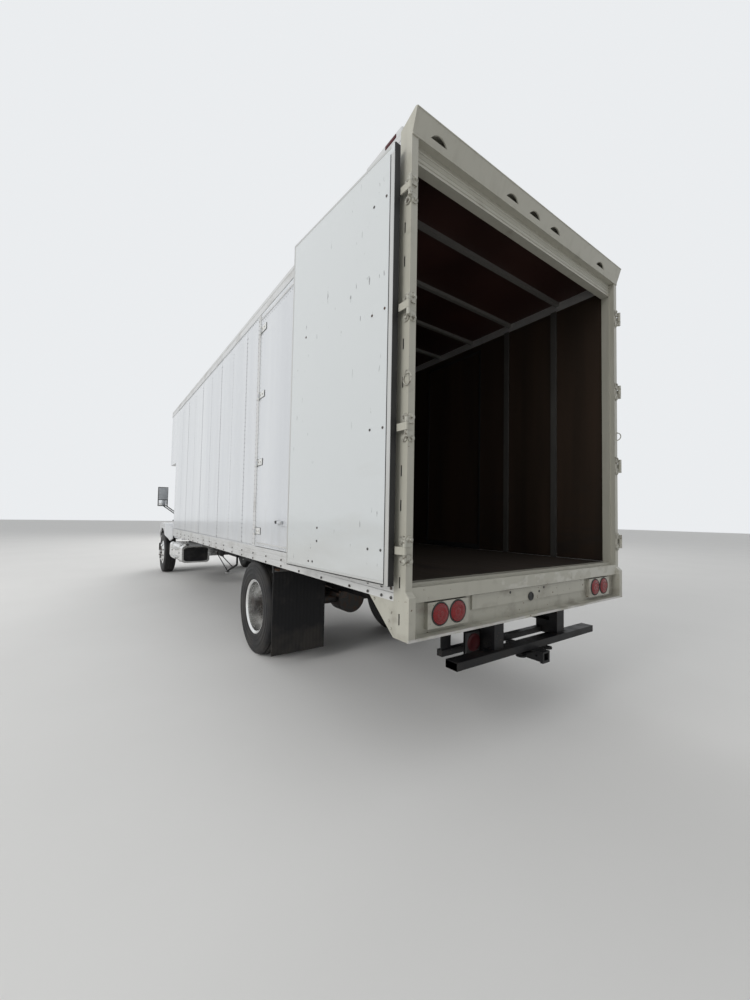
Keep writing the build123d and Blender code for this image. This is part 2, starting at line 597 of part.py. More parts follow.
for height in SLOT_HEIGHTS:
    post -= bar((HALF_WIDTH - 10, HALF_WIDTH + 5), slot_places, (height - SLOT[1] / 2, height + SLOT[1] / 2))

# Rear frame header: a folded visor that leans back, with half-moon lamp openings
header_edge = [(-POST_DEPTH, OPENING_TOP), (-STOP_DEPTH, OPENING_TOP), (-STOP_DEPTH, STEP_HEIGHT)]
header_fold = [(-POST_DEPTH - 10, OPENING_TOP + PLATE), (-STOP_DEPTH - PLATE, OPENING_TOP + PLATE),
               (-STOP_DEPTH - PLATE, STEP_HEIGHT + PLATE), (-6, STEP_HEIGHT + PLATE),
               (HEADER_LEAN - 12, HEADER_TOP - 15), (HEADER_LEAN - 20, HEADER_TOP - 11),
               (-POST_DEPTH - 10, TOP_RAIL_TOP - 15)]
header = along_x(behind(header_edge + head_points), (-post_inner, post_inner))
header -= along_x(behind(header_fold), (-post_inner, post_inner))
marker_radius = (MARKER_HALF ** 2 + MARKER_RISE ** 2) / (2 * MARKER_RISE)
marker_y = (REAR - 20, REAR + 60)
for place in MARKER_PLACES:
    centre = MARKER_LOW + MARKER_RISE - marker_radius
    disc = rod((place, marker_y[0], centre), (place, marker_y[1], centre), marker_radius)
    header -= disc & block((place - MARKER_HALF, place + MARKER_HALF), marker_y,
                           (MARKER_LOW, centre + marker_radius))

# Rear frame sill: a pressed channel with a raised band between two lamp boxes
fold = CHANNEL_DEPTH + PLATE
sill = along_x(behind([(-POST_DEPTH, FLOOR_TOP), (-STOP_DEPTH, FLOOR_TOP), (-STOP_DEPTH, SILL_STEP),
                       (0, SILL_STEP),
                       (0, SILL_BOTTOM), (-CHANNEL_DEPTH, SILL_BOTTOM),
                       (-CHANNEL_DEPTH, POST_FOOT + SILL_LIP),
                       (FOOT_PROUD, POST_FOOT + SILL_LIP), (FOOT_PROUD, POST_FOOT), (-fold, POST_FOOT),
                       (-fold, SILL_BOTTOM + PLATE), (-PLATE, SILL_BOTTOM + PLATE),
                       (-PLATE, SILL_STEP - PLATE),
                       (-POST_DEPTH, SILL_STEP - PLATE)]), (-post_inner, post_inner))
sill += bar((-BAND_HALF, BAND_HALF), (CHANNEL_DEPTH - BAND_PROUD, CHANNEL_DEPTH),
            (SILL_BOTTOM - 101, SILL_BOTTOM))
LAMP_HEIGHT = sum(LAMP_BOX_HEIGHT) / 2 + 4
LAMP_FACE = REAR - 3
LAMP_SOCKET = REAR - 20
lamp_box = block(LAMP_BOX, (REAR - CHANNEL_DEPTH, LAMP_FACE), LAMP_BOX_HEIGHT)
for place in LAMP_PLACES:
    lamp_box -= rod((place, LAMP_SOCKET, LAMP_HEIGHT), (place, LAMP_FACE + 8, LAMP_HEIGHT), LAMP_RADIUS + FIT)
save("rear_frame", post + mirrored(post) + header + sill + lamp_box + mirrored(lamp_box))

# Hitch places, which the lamps under the sill share
HITCH_LOW = RAIL_BOTTOM - 130
HITCH_HIGH = HITCH_LOW + 52
LEG_X = (342, RAIL_OUTER)
SIDE_PLATE = 12
CHASSIS_LAMP_X = (460, 600)
CHASSIS_LAMP_HEIGHT = (RAIL_BOTTOM - 120, RAIL_BOTTOM + 40)
CHASSIS_LAMP_AHEAD = (160, 185)

# Rear lamps: round ones in the sill's boxes, and one on each side under the floor
lamps = [rod((place, LAMP_SOCKET, LAMP_HEIGHT), (place, LAMP_FACE + 12, LAMP_HEIGHT), LAMP_RADIUS)
         for place in LAMP_PLACES]
lamps.append(bar(CHASSIS_LAMP_X, CHASSIS_LAMP_AHEAD, CHASSIS_LAMP_HEIGHT))
save("rear_lamps", both(together(lamps)))

# Hinge butts: at each height a lug above and below the door's strap, with the pin between
hinge_heights = spread(DOOR_BOTTOM + HINGE_ENDS[0], DOOR_TOP - HINGE_ENDS[1], HINGES)
hinge_pin = (HALF_WIDTH + HINGE_OUT, REAR + HINGE_BACK)
butts = [hinge_butt(hinge_pin, True, HINGE_BACK, HINGE_OUT + 38, HINGE_KNUCKLE, height, HINGE_STRAP_HALF,
                    HINGE_LUG_HALF) for height in hinge_heights]
save("hinge_butts", both(together(butts)))

# Rear doors, made closed and then swung open about their pins
door_edge = post_inner - GAP
door_face = REAR + DOOR_PROUD
rear_door = block((GAP / 2, door_edge), (door_face - DOOR_THICK, door_face), (DOOR_BOTTOM, DOOR_TOP))
for height in hinge_heights:
    limits = (height - HINGE_STRAP_HALF, height + HINGE_STRAP_HALF)
    strap = pin(hinge_pin, limits, HINGE_KNUCKLE)
    strap += block((door_edge - STRAP_LENGTH, hinge_pin[0]), (door_face, door_face + STRAP_THICK), limits)
    rear_door += strap - pin(hinge_pin, (limits[0] - 5, limits[1] + 5), HINGE_PIN_RADIUS + RUNNING_FIT)
rod_y = door_face + ROD_STAND
rod_front = rod_y + ROD_RADIUS
lock = rod((ROD_X, rod_y, DOOR_BOTTOM + 10), (ROD_X, rod_y, DOOR_TOP - 10), ROD_RADIUS)
for height in spread(DOOR_BOTTOM + 92, DOOR_TOP - 90, LOCK_GUIDES):
    lock += block((ROD_X - 30, ROD_X + 30), (door_face, rod_y + 6), (height - 18, height + 18))
LATCH_LOW = DOOR_BOTTOM + LATCH_RISE
lock += block((ROD_X - 20, ROD_X + 330), (rod_front - 4, rod_front + 10), (LATCH_LOW, LATCH_LOW + 38))
lock += block((ROD_X + 270, ROD_X + 320), (door_face, rod_front - 4), (LATCH_LOW - 10, LATCH_LOW + 48))


def opened(shape):
    """A left rear door piece, swung from closed to its open place."""
    return shape.rotate(Axis((*hinge_pin, 0), (0, 0, 1)), -DOOR_SWING)


save("rear_door_left", opened(rear_door))
save("rear_door_right", mirrored(opened(rear_door)))
save("lock_rod_left", opened(lock))
save("lock_rod_right", mirrored(opened(lock)))

# Side doors, closed: a flush slab on strap hinges at its front edge, with a bar latch
side_face = wall_outer + 2
side_pin = (side_face + SIDE_PIN_OUT, ahead(SIDE_DOOR_FRONT))
side_door_heights = (wall_bottom + GAP, SIDE_DOOR_TOP - GAP)
side_door = bar((wall_inner + 2, side_face), (SIDE_DOOR_FRONT - GAP, SIDE_DOOR_REAR + GAP), side_door_heights)
side_butts = []
for height in spread(side_door_heights[0] + SIDE_HINGE_ENDS[0], side_door_heights[1] - SIDE_HINGE_ENDS[1],
                     HINGES):
    limits = (height - 20, height + 20)
    strap = pin(side_pin, limits, SIDE_KNUCKLE)
    strap += block((side_face, side_face + 7), (side_pin[1] + 8, side_pin[1] + SIDE_STRAP), limits)
    strap += block((side_face, side_pin[0]), (side_pin[1] + GAP, side_pin[1] + 10), limits)
    side_door += strap - pin(side_pin, (limits[0] - 5, limits[1] + 5), HINGE_PIN_RADIUS + RUNNING_FIT)
    side_butts.append(hinge_butt(side_pin, False, side_pin[0] - wall_outer, 45, SIDE_KNUCKLE, height, 20, 44))
LATCH_HEIGHT = side_door_heights[0] + 269
latch_y = ahead(SIDE_DOOR_REAR + 170)
side_door += block((side_face, side_face + 12), (latch_y - 60, latch_y + 110),
                   (LATCH_HEIGHT - 35, LATCH_HEIGHT + 35))
side_door += block((side_face + 12, side_face + 34), (latch_y - 130, latch_y + 20),
                   (LATCH_HEIGHT - 13, LATCH_HEIGHT + 13))
save("side_door_left", side_door)
save("side_door_right", mirrored(side_door))
save("side_hinge_butts", both(together(side_butts)))

# Tow hitch: cross tube on two legs, side plates along the rails, a guard bar and lamp plates
RECEIVER_HALF = 38
RECEIVER_BORE = 26
RECEIVER_COLLAR = 6
HITCH_PIN_RADIUS = 8
TUBE_HALF = 850
TUBE_AHEAD = (17, 117)
GUARD_HALF = 755
GUARD_AHEAD = (245, 295)
GUARD_HEIGHT = (HITCH_LOW + 7, HITCH_HIGH - 1)
hitch = bar((-TUBE_HALF, TUBE_HALF), TUBE_AHEAD, (HITCH_LOW, HITCH_HIGH))
hitch += bar((-GUARD_HALF, GUARD_HALF), GUARD_AHEAD, GUARD_HEIGHT)
for way in (1, -1):
    hitch += bar((way * LEG_X[0], way * LEG_X[1]), (50, TUBE_AHEAD[1]), (HITCH_LOW + 10, RAIL_TOP - 45))
    hitch += bar((way * RAIL_OUTER, way * (RAIL_OUTER + SIDE_PLATE)), (50, GUARD_AHEAD[1]),
                 (GUARD_HEIGHT[0], RAIL_TOP - 45))
    hitch += bar((way * (GUARD_HALF - 95), way * GUARD_HALF), (GUARD_AHEAD[0] + 10, GUARD_AHEAD[0] + 18),
                 (GUARD_HEIGHT[0], SILL_BOTTOM))
    hitch += bar((way * RAIL_OUTER, way * CHASSIS_LAMP_X[1]), (CHASSIS_LAMP_AHEAD[1],
                                                               CHASSIS_LAMP_AHEAD[1] + PLATE),
                 CHASSIS_LAMP_HEIGHT)

# The hitch's receiver, and a flat ring on each side of it for a trailer's chains
receiver_z = HITCH_LOW - RECEIVER_HALF
collar = RECEIVER_HALF + RECEIVER_COLLAR
hitch += block((-RECEIVER_HALF, RECEIVER_HALF), (ahead(260), REAR + RECEIVER_REACH),
               (HITCH_LOW - 2 * RECEIVER_HALF, HITCH_LOW))
hitch += block((-collar, collar), (REAR + RECEIVER_REACH - 22, REAR + RECEIVER_REACH),
               (receiver_z - collar, HITCH_LOW))
hitch -= block((-RECEIVER_BORE, RECEIVER_BORE), (ahead(255), REAR + RECEIVER_REACH + 5),
               (receiver_z - RECEIVER_BORE, receiver_z + RECEIVER_BORE))
hitch -= rod((-collar - 5, REAR + 10, receiver_z), (collar + 5, REAR + 10, receiver_z), HITCH_PIN_RADIUS)
RING_X = 165
RING_AHEAD = 30
RING_RADIUS = 38
RING_BORE = 20
RING_HEIGHT = (HITCH_LOW - 30, HITCH_LOW - 18)
for way in (1, -1):
    ring_place = (way * RING_X, ahead(RING_AHEAD))
    ring = pin(ring_place, RING_HEIGHT, RING_RADIUS)
    ring += bar((way * (RECEIVER_HALF - 2), way * RING_X), (RING_AHEAD, RING_AHEAD + 34), RING_HEIGHT)
    hitch += ring - pin(ring_place, (RING_HEIGHT[0] - 5, RING_HEIGHT[1] + 5), RING_BORE)
save("tow_hitch", hitch)

# Mud flaps: rubber sheets hung from bars under the van floor, just behind the rear tyres
FLAP_X = (640, 1235)
FLAP_AHEAD = REAR_AXLE - TYRE_RADIUS - 67
FLAP_THICK = 10
flap_front = FLAP_AHEAD + FLAP_THICK / 2
save("mud_flaps", both(bar(FLAP_X, (flap_front - FLAP_THICK, flap_front), (130, SILL_BOTTOM - 40))))
flap_bar = bar(FLAP_X, (flap_front, flap_front + 30), (SILL_BOTTOM - 100, SILL_BOTTOM))
for leg in (FLAP_X[0] + 80, FLAP_X[1] - 115):
    flap_bar += bar((leg, leg + 40), (flap_front, flap_front + 100), (SILL_BOTTOM - 40, SILL_BOTTOM))
save("flap_brackets", both(flap_bar))

# Fuel tank with straps and steps on the left, battery box with steps on the right
TANK_X = (656, 1200)
TANK_HEIGHT = (RAIL_BOTTOM - 204, RAIL_TOP - 104)
TANK_PLACE = (CAB_BACK - 1080, CAB_BACK + 500)
TANK_ROUND = 70
STEP_PROUD = 45
STEP_THICK = 30
TANK_STEPS = (TANK_HEIGHT[0] + 44, TANK_HEIGHT[0] + 224)
tank = along_y([(TANK_X[0], TANK_HEIGHT[0]), (TANK_X[1], TANK_HEIGHT[0]), (TANK_X[1], TANK_HEIGHT[1]),
                (TANK_X[0], TANK_HEIGHT[1])], TANK_PLACE, TANK_ROUND)
for place in (TANK_PLACE[0] + 330, TANK_PLACE[1] - 350):
    strap_places = (place - 35, place + 35)
    tank += bar((RAIL_OUTER, TANK_X[0] + 90), strap_places, (TANK_HEIGHT[1], TANK_HEIGHT[1] + 40))
    tank += bar((RAIL_OUTER, TANK_X[0]), strap_places, (TANK_HEIGHT[1] - 250, TANK_HEIGHT[1] + 40))
for height in TANK_STEPS:
    tank += bar((TANK_X[1] - 20, TANK_X[1] + STEP_PROUD), (CAB_BACK - 500, CAB_BACK + 50),
                (height, height + STEP_THICK))
save("fuel_tank", tank)
box_outer = TANK_X[1] - 20
battery = bar((-box_outer, -RAIL_OUTER), (CAB_BACK - 350, CAB_BACK + 450),
              (TANK_HEIGHT[0] + 24, TANK_HEIGHT[1]))
for height in TANK_STEPS:
    battery += bar((-TANK_X[1] - STEP_PROUD, -box_outer), (CAB_BACK - 300, CAB_BACK + 250),
                   (height, height + STEP_THICK))
save("battery_box", battery)

# Cab shell: outer form from its front and side outlines, hollowed, with doorways and windows cut
SCREEN_TOP = CAB_FRONT - SCREEN_RAKE
cab_ahead = (CAB_BACK - 50, CAB_FRONT + 50)
eave = CAB_ROOF - CAB_CROWN
half_front = [(TUNNEL_HALF, TUNNEL_TOP), (TUNNEL_HALF, CAB_SILL), (CAB_HALF, CAB_SILL), (CAB_HALF, BELT),
              (SHOULDER_HALF, SHOULDER), (ROOF_HALF, eave)]
cab_front_points = half_front + [(0, CAB_ROOF)] + [(-x, z) for x, z in reversed(half_front)]
cab_front_radii = [0, 0, 0, 0, 60, 50, 9000, 50, 60, 0, 0, 0, 0]
cab_outer = along_y(cab_front_points, cab_ahead, cab_front_radii)
cab_outer = cab_outer & side_profile([(CAB_BACK, CAB_SILL), (CAB_BACK, CAB_ROOF + 10),
                                      (SCREEN_TOP, CAB_ROOF + 10),
                                      (CAB_FRONT, BELT + 30), (CAB_FRONT, CAB_SILL)],
                                     (-CAB_HALF, CAB_HALF), [0, 90, 70, 30, 0])


def inset_front(depth, floor_height):
    """The cab's front outline drawn in by a wall thickness, with its own floor height."""
    half = [(CAB_HALF - depth, floor_height), (CAB_HALF - depth, BELT),
            (SHOULDER_HALF - depth, SHOULDER - depth / 2),
            (ROOF_HALF - depth / 2, eave - depth)]
    return along_y(half + [(-x, z) for x, z in reversed(half)], cab_ahead)


cab_inner = inset_front(CAB_WALL, CAB_FLOOR) & side_profile(
    [(CAB_BACK + CAB_WALL, CAB_FLOOR), (CAB_BACK + CAB_WALL, CAB_ROOF - CAB_WALL),
     (SCREEN_TOP - 30, CAB_ROOF - CAB_WALL), (CAB_FRONT - CAB_WALL, BELT + 20),
     (CAB_FRONT - CAB_WALL, CAB_FLOOR)],
    (-CAB_HALF, CAB_HALF))
DOOR_X = (600, CAB_HALF + 20)
door_lines = (CAB_BACK + 150, CAB_FRONT - 90)
door_points = [(door_lines[0], CAB_SILL + 35), (door_lines[1], CAB_SILL + 35), (door_lines[1], BELT + 20),
               (SCREEN_TOP - 40, SHOULDER - 35), (door_lines[0], SHOULDER - 35)]
door_radii = [30, 30, 20, 50, 50]
window_points = [(door_lines[0] + 90, BELT + 60), (door_lines[1] - 90, BELT + 60),
                 (SCREEN_TOP - 80, SHOULDER - 110), (door_lines[0] + 90, SHOULDER - 110)]
screen_points = [(-860, BELT + 70), (860, BELT + 70), (790, SHOULDER - 40), (-790, SHOULDER - 40)]
back_points = [(-600, BELT + 100), (600, BELT + 100), (600, SHOULDER - 130), (-600, SHOULDER - 130)]
WINDOW_RADIUS = 50
SCREEN_RADIUS = 60


def grown(points, radii, amount):
    """A (distance ahead, z) outline grown all round and carried through the cab's left side."""
    plane = Plane(origin=(DOOR_X[0], 0, 0), x_dir=(0, 1, 0), z_dir=(1, 0, 0))
    face = outline([(ahead(distance), height) for distance, height in points], radii)
    return extrude(plane * offset(face, amount), DOOR_X[1] - DOOR_X[0], dir=(1, 0, 0))


cab_door = cab_outer & side_profile(door_points, DOOR_X, door_radii)
cab_door = cab_door - inset_front(CAB_WALL, 0) - side_profile(window_points, DOOR_X, WINDOW_RADIUS)
doorway = grown(door_points, door_radii, GAP) - inset_front(CAB_WALL + GAP, 0)
cab = cab_outer - cab_inner - doorway - mirrored(doorway)
cab -= along_y(screen_points, (SCREEN_TOP - 95, CAB_FRONT + 50), SCREEN_RADIUS)
cab -= along_y(back_points, (CAB_BACK - 50, CAB_BACK + 120), SCREEN_RADIUS)
cab_pin = (CAB_HALF + CAB_PIN_OUT, ahead(door_lines[1] + 3))
for height in (BELT - 480, BELT - 120):
    butt = hinge_butt(cab_pin, False, CAB_PIN_OUT + 1, 45, CAB_KNUCKLE, height, 18, 40)
    leaf = pin(cab_pin, (height - 18, height + 18), CAB_KNUCKLE)
    leaf += block((CAB_HALF - 1, cab_pin[0]), (cab_pin[1] + GAP, cab_pin[1] + 70), (height - 18, height + 18))
    leaf -= pin(cab_pin, (height - 50, height + 50), HINGE_PIN_RADIUS + RUNNING_FIT)
    cab = cab + butt + mirrored(butt)
    cab_door += leaf
save("cab_shell", cab)
save("cab_door_left", cab_door)
save("cab_door_right", mirrored(cab_door))

# Cab glass: flat panes set in the wall's thickness
pane_foot = CAB_HALF - 20
pane_head = SHOULDER_HALF - 20
pane_strip = along_y([(pane_foot, BELT), (pane_head, SHOULDER), (pane_head - GLASS, SHOULDER),
                      (pane_foot - GLASS, BELT)], (CAB_BACK, CAB_FRONT))
side_glass = grown(window_points, WINDOW_RADIUS, -FIT) & pane_strip
save("door_glass_left", side_glass)
save("door_glass_right", mirrored(side_glass))
PANE_DEPTH = 12
screen_strip = side_profile([(SCREEN_TOP - PANE_DEPTH, CAB_ROOF), (CAB_FRONT - PANE_DEPTH, BELT + 30),
                             (CAB_FRONT - PANE_DEPTH - GLASS, BELT + 30),
                             (SCREEN_TOP - PANE_DEPTH - GLASS, CAB_ROOF)], (-CAB_HALF, CAB_HALF))


def pane(points, start, depth):
    """A flat sheet that fills a window in the cab's front or back, from start for a depth."""
    plane = Plane(origin=(0, ahead(start), 0), x_dir=(1, 0, 0), z_dir=(0, -1, 0))
    return extrude(plane * offset(outline(points, SCREEN_RADIUS), -FIT), depth, dir=(0, -1, 0))


screen = pane(screen_points, SCREEN_TOP - 150, SCREEN_RAKE + 200) & screen_strip
save("cab_glass", together([screen, pane(back_points, CAB_BACK + 20, GLASS)]))

# Mirrors: a tall head on two arms from each door
MIRROR_X = (1230, 1450)
MIRROR_PLACE = (SCREEN_TOP + 55, SCREEN_TOP + 155)
MIRROR_HEIGHT = (BELT + 120, BELT + 590)
mirror_head = along_z([(MIRROR_X[0], ahead(MIRROR_PLACE[0])), (MIRROR_X[1], ahead(MIRROR_PLACE[0])),
                       (MIRROR_X[1], ahead(MIRROR_PLACE[1])), (MIRROR_X[0], ahead(MIRROR_PLACE[1]))],
                      MIRROR_HEIGHT, 25)
mirror_foot = MIRROR_PLACE[0] + 35
mirror_unit = mirror_head + bar((CAB_HALF, CAB_HALF + 14), (mirror_foot - 30, mirror_foot + 30),
                                (BELT - 120, BELT - 10))
for height in (BELT - 90, BELT - 40):
    mirror_unit += rod((CAB_HALF + 10, ahead(mirror_foot), height),
                       (sum(MIRROR_X) / 2, ahead(mirror_foot + 10), height + 230), 12)
save("mirror_left", mirror_unit)
save("mirror_right", mirrored(mirror_unit))

# Seats: a driver's seat and a bench, each cushion and back as one form on its base
SEAT_TOP = CAB_FLOOR + 80
seat_side = [(CAB_BACK + ahead_of_back, SEAT_TOP + rise) for ahead_of_back, rise in
             ((110, 0), (560, 0), (580, 280), (310, 250), (190, 930), (70, 950), (70, 150))]
seats = []
for limits in ((180, 700), (-850, 100)):
    seat = side_profile(seat_side, limits, 30)
    seats.append(seat + bar((limits[0] + 50, limits[1] - 50), (CAB_BACK + 150, CAB_BACK + 510),
                            (CAB_FLOOR, SEAT_TOP)))
save("seats", together(seats))

# Dashboard across the cab under the screen, with the steering column
DASH_HALF = 900
dash = side_profile([(CAB_FRONT - CAB_WALL, BELT - 350), (CAB_FRONT - CAB_WALL, BELT - 10),
                     (CAB_FRONT - 170, BELT),
                     (CAB_FRONT - 310, BELT - 60), (CAB_FRONT - 290, BELT - 270),
                     (CAB_FRONT - 190, BELT - 350)],
                    (-DASH_HALF, DASH_HALF), [0, 0, 40, 40, 30, 30])
WHEEL_PLACE = (440, CAB_FRONT - 470, BELT + 50)
COLUMN_TILT = radians(40)
COLUMN_RADIUS = 32
SHAFT = 12


def column(distance):
    """A point this far down the steering column from the wheel's middle."""
    return (WHEEL_PLACE[0], ahead(WHEEL_PLACE[1]) - distance * cos(COLUMN_TILT),
            WHEEL_PLACE[2] - distance * sin(COLUMN_TILT))


dash += rod(column(50), column(290), COLUMN_RADIUS)
dash -= rod(column(0), column(125), SHAFT + RUNNING_FIT)
save("dashboard", dash)
wheel_plane = Plane(origin=column(0), x_dir=(1, 0, 0), z_dir=(0, cos(COLUMN_TILT), sin(COLUMN_TILT)))
WHEEL_RIM = (200, 230)
steering = wheel_plane * (Cylinder(WHEEL_RIM[1], 26) - Cylinder(WHEEL_RIM[0], 30))
steering += rod(column(-15), column(40), 45)
steering += rod(column(0), column(120), SHAFT)
for turn in (90, 210, 330):
    steering += wheel_plane * (Rot(Z=turn) * (Pos(WHEEL_RIM[0] / 2 + 10, 0, 0) * Box(WHEEL_RIM[0], 34, 12)))
save("steering_wheel", steering)

# Hood: one tilting shell with flared wings, open below, with arches, grille and lamp openings
inner_front = HOOD_FRONT - HOOD_SKIN
hood_side = [(HOOD_REAR, CAB_SILL - 30), (HOOD_REAR, BELT + 20), (HOOD_FRONT - 560, BELT - 70),
             (HOOD_FRONT - 80, BELT - 200), (HOOD_FRONT, BELT - 350), (HOOD_FRONT, HOOD_BOTTOM),
             (HOOD_FRONT - 360, HOOD_BOTTOM)]
hood_side_inner = [(HOOD_REAR - 20, HOOD_BOTTOM - 100), (HOOD_REAR - 20, BELT - 10),
                   (HOOD_FRONT - 570, BELT - 100),
                   (HOOD_FRONT - 95, BELT - 228), (inner_front, BELT - 360), (inner_front, HOOD_BOTTOM - 100)]


def hood_plan(inset):
    """The hood's plan, wider at the cab than at the nose, drawn in by a thickness."""
    rear, front = HOOD_HALF[0] - inset, HOOD_HALF[1] - inset
    places = (ahead(HOOD_REAR - inset), ahead(HOOD_FRONT + 5))
    return along_z([(-rear, places[0]), (rear, places[0]), (front, places[1]), (-front, places[1])],
                   (HOOD_BOTTOM - 200, BELT + 100))


hood_form = side_profile(hood_side, (-HOOD_HALF[0] - 5, HOOD_HALF[0] + 5),
                         [0, 0, 0, 60, 60, 0, 0]) & hood_plan(0)
hood_void = side_profile(hood_side_inner, (-HOOD_HALF[0] - 5, HOOD_HALF[0] + 5)) & hood_plan(HOOD_SKIN)
wing_front = HOOD_FRONT - HOOD_SKIN
flat_rear = FRONT_AXLE - ARCH_RADIUS + 200
flat_front = FRONT_AXLE + ARCH_RADIUS - 190
wing_side = [(HOOD_REAR, CAB_SILL - 30), (HOOD_REAR, BELT - 420), (flat_rear + 90, BELT - 310),
             (flat_front - 150, BELT - 310), (HOOD_FRONT - 160, BELT - 450), (wing_front, BELT - 600),
             (wing_front, HOOD_BOTTOM), (HOOD_REAR + 98, HOOD_BOTTOM)]
wing_plan = [(700, ahead(HOOD_REAR)), (CAB_HALF + 40, ahead(HOOD_REAR)), (FENDER_HALF, ahead(flat_rear)),
             (FENDER_HALF, ahead(flat_front)), (1080, ahead(HOOD_FRONT - 100)), (700, ahead(wing_front))]
wing = side_profile(wing_side, (700, FENDER_HALF), [0, 60, 200, 200, 100, 60, 0, 0])
wing = wing & along_z(wing_plan, (HOOD_BOTTOM - 200, BELT + 100), [0, 0, 60, 60, 60, 0])
void_side = [(HOOD_REAR - 20, HOOD_BOTTOM - 100), (HOOD_REAR - 20, BELT - 450), (flat_rear + 90, BELT - 340),
             (flat_front - 160, BELT - 340), (HOOD_FRONT - 180, BELT - 475),
             (wing_front - HOOD_SKIN, BELT - 615),
             (wing_front - HOOD_SKIN, HOOD_BOTTOM - 100)]
void_plan = [(600, ahead(HOOD_REAR - 10)), (CAB_HALF + 10, ahead(HOOD_REAR - 10)),
             (FENDER_HALF - HOOD_SKIN, ahead(flat_rear + 15)),
             (FENDER_HALF - HOOD_SKIN, ahead(flat_front - 10)),
             (1060, ahead(HOOD_FRONT - 130)), (600, ahead(wing_front - HOOD_SKIN))]
wing_void = side_profile(void_side, (600, FENDER_HALF)) & along_z(void_plan, (HOOD_BOTTOM - 200, BELT + 100))
hood = hood_form + wing + mirrored(wing) - hood_void - wing_void - mirrored(wing_void)
arch = axle_rod((600, FENDER_HALF + 50), front_y, ARCH_RADIUS)
hood = hood - arch - mirrored(arch)
GRILLE_HALF = 430
GRILLE_HEIGHT = (HOOD_BOTTOM + 60, BELT - 370)
HEADLAMP_X = (540, 800)
HEADLAMP_HEIGHT = (HOOD_BOTTOM + 130, HOOD_BOTTOM + 320)
nose = (HOOD_FRONT - 80, HOOD_FRONT + 20)
hood -= bar((-GRILLE_HALF, GRILLE_HALF), nose, GRILLE_HEIGHT)
for way in (1, -1):
    hood -= bar((way * HEADLAMP_X[0], way * HEADLAMP_X[1]), nose, HEADLAMP_HEIGHT)
    hood_lug = rod((way * HOOD_LUG[0], *pivot), (way * HOOD_LUG[1], *pivot), PIVOT_LUG)
    hood_lug += bar((way * HOOD_LUG[0], way * HOOD_LUG[1]), (PIVOT_AHEAD, inner_front + 5),
                    (PIVOT_HEIGHT - 14, PIVOT_HEIGHT + PIVOT_LUG))
    hood += hood_lug - rod((way * (HOOD_LUG[0] - 5), *pivot), (way * (HOOD_LUG[1] + 5), *pivot),
                           PIVOT_PIN + RUNNING_FIT)
save("hood", hood)

# Grille: a frame with level bars, set in the hood's nose, between two lamps
GRILLE_SLOTS = 6
SLOT_GAP = 16
slot_pitch = (GRILLE_HEIGHT[1] - GRILLE_HEIGHT[0] - 50) / GRILLE_SLOTS
grille = bar((-GRILLE_HALF + FIT, GRILLE_HALF - FIT), (HOOD_FRONT - 25, HOOD_FRONT + 4),
             (GRILLE_HEIGHT[0] + FIT, GRILLE_HEIGHT[1] - FIT))
for n in range(GRILLE_SLOTS):
    low = GRILLE_HEIGHT[0] + 30 + n * slot_pitch
    grille -= bar((-GRILLE_HALF + 25, GRILLE_HALF - 25), (HOOD_FRONT - 40, HOOD_FRONT + 20),
                  (low, low + slot_pitch - SLOT_GAP))
save("grille", grille)
save("headlamps", both(bar((HEADLAMP_X[0] + FIT, HEADLAMP_X[1] - FIT), (HOOD_FRONT - 28, HOOD_FRONT + 3),
                           (HEADLAMP_HEIGHT[0] + FIT, HEADLAMP_HEIGHT[1] - FIT))))

# Bumper: a bent channel across the front, on the horns, its ends swept back towards the tyres
end_y = ahead(FRONT_AXLE + TYRE_RADIUS + BUMPER_CLEAR)
bend_y = ahead(BUMPER_FACE - BUMPER_BEND[1])
bumper_half = [(BUMPER_FLAT, ahead(BUMPER_FACE)), (BUMPER_BEND[0], bend_y), (BUMPER_HALF, end_y),
               (BUMPER_HALF - BUMPER_SHEET, end_y), (BUMPER_BEND[0] - BUMPER_SHEET, bend_y + BUMPER_SHEET),
               (BUMPER_FLAT, ahead(BUMPER_FACE - BUMPER_SHEET))]
save("bumper", along_z(bumper_half + [(-x, y) for x, y in reversed(bumper_half)],
                       (BUMPER_BOTTOM, BUMPER_TOP)))
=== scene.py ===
import math

import bpy
from mathutils import Matrix, Vector


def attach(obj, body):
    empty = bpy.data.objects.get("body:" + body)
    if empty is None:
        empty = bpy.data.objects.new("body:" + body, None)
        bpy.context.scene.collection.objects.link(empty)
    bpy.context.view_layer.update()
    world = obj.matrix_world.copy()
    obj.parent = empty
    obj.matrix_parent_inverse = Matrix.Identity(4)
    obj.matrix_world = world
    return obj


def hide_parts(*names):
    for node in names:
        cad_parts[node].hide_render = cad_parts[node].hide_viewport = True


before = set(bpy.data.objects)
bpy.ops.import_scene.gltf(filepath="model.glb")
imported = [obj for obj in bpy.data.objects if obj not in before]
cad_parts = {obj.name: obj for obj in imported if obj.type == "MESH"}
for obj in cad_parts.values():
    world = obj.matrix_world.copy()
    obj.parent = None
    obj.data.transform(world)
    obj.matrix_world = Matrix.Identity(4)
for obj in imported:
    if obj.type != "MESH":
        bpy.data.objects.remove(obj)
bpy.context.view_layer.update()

# The camera stands behind the truck's left rear corner at eye height, tilted slightly up, with a
# very wide lens.
YAW, PITCH, ROLL = math.radians(35.2645), math.radians(2.3968), math.radians(1.05627)
forward = Vector((-math.sin(YAW) * math.cos(PITCH), -math.cos(YAW) * math.cos(PITCH), math.sin(PITCH)))
level = forward.cross(Vector((0, 0, 1))).normalized()
upright = level.cross(forward)
right = level * math.cos(ROLL) + upright * math.sin(ROLL)
upward = upright * math.cos(ROLL) - level * math.sin(ROLL)
scene = bpy.context.scene
camera_data = bpy.data.cameras.new("camera")
camera_data.lens = 14.382
camera_data.sensor_width = 36
camera_data.clip_end = 400
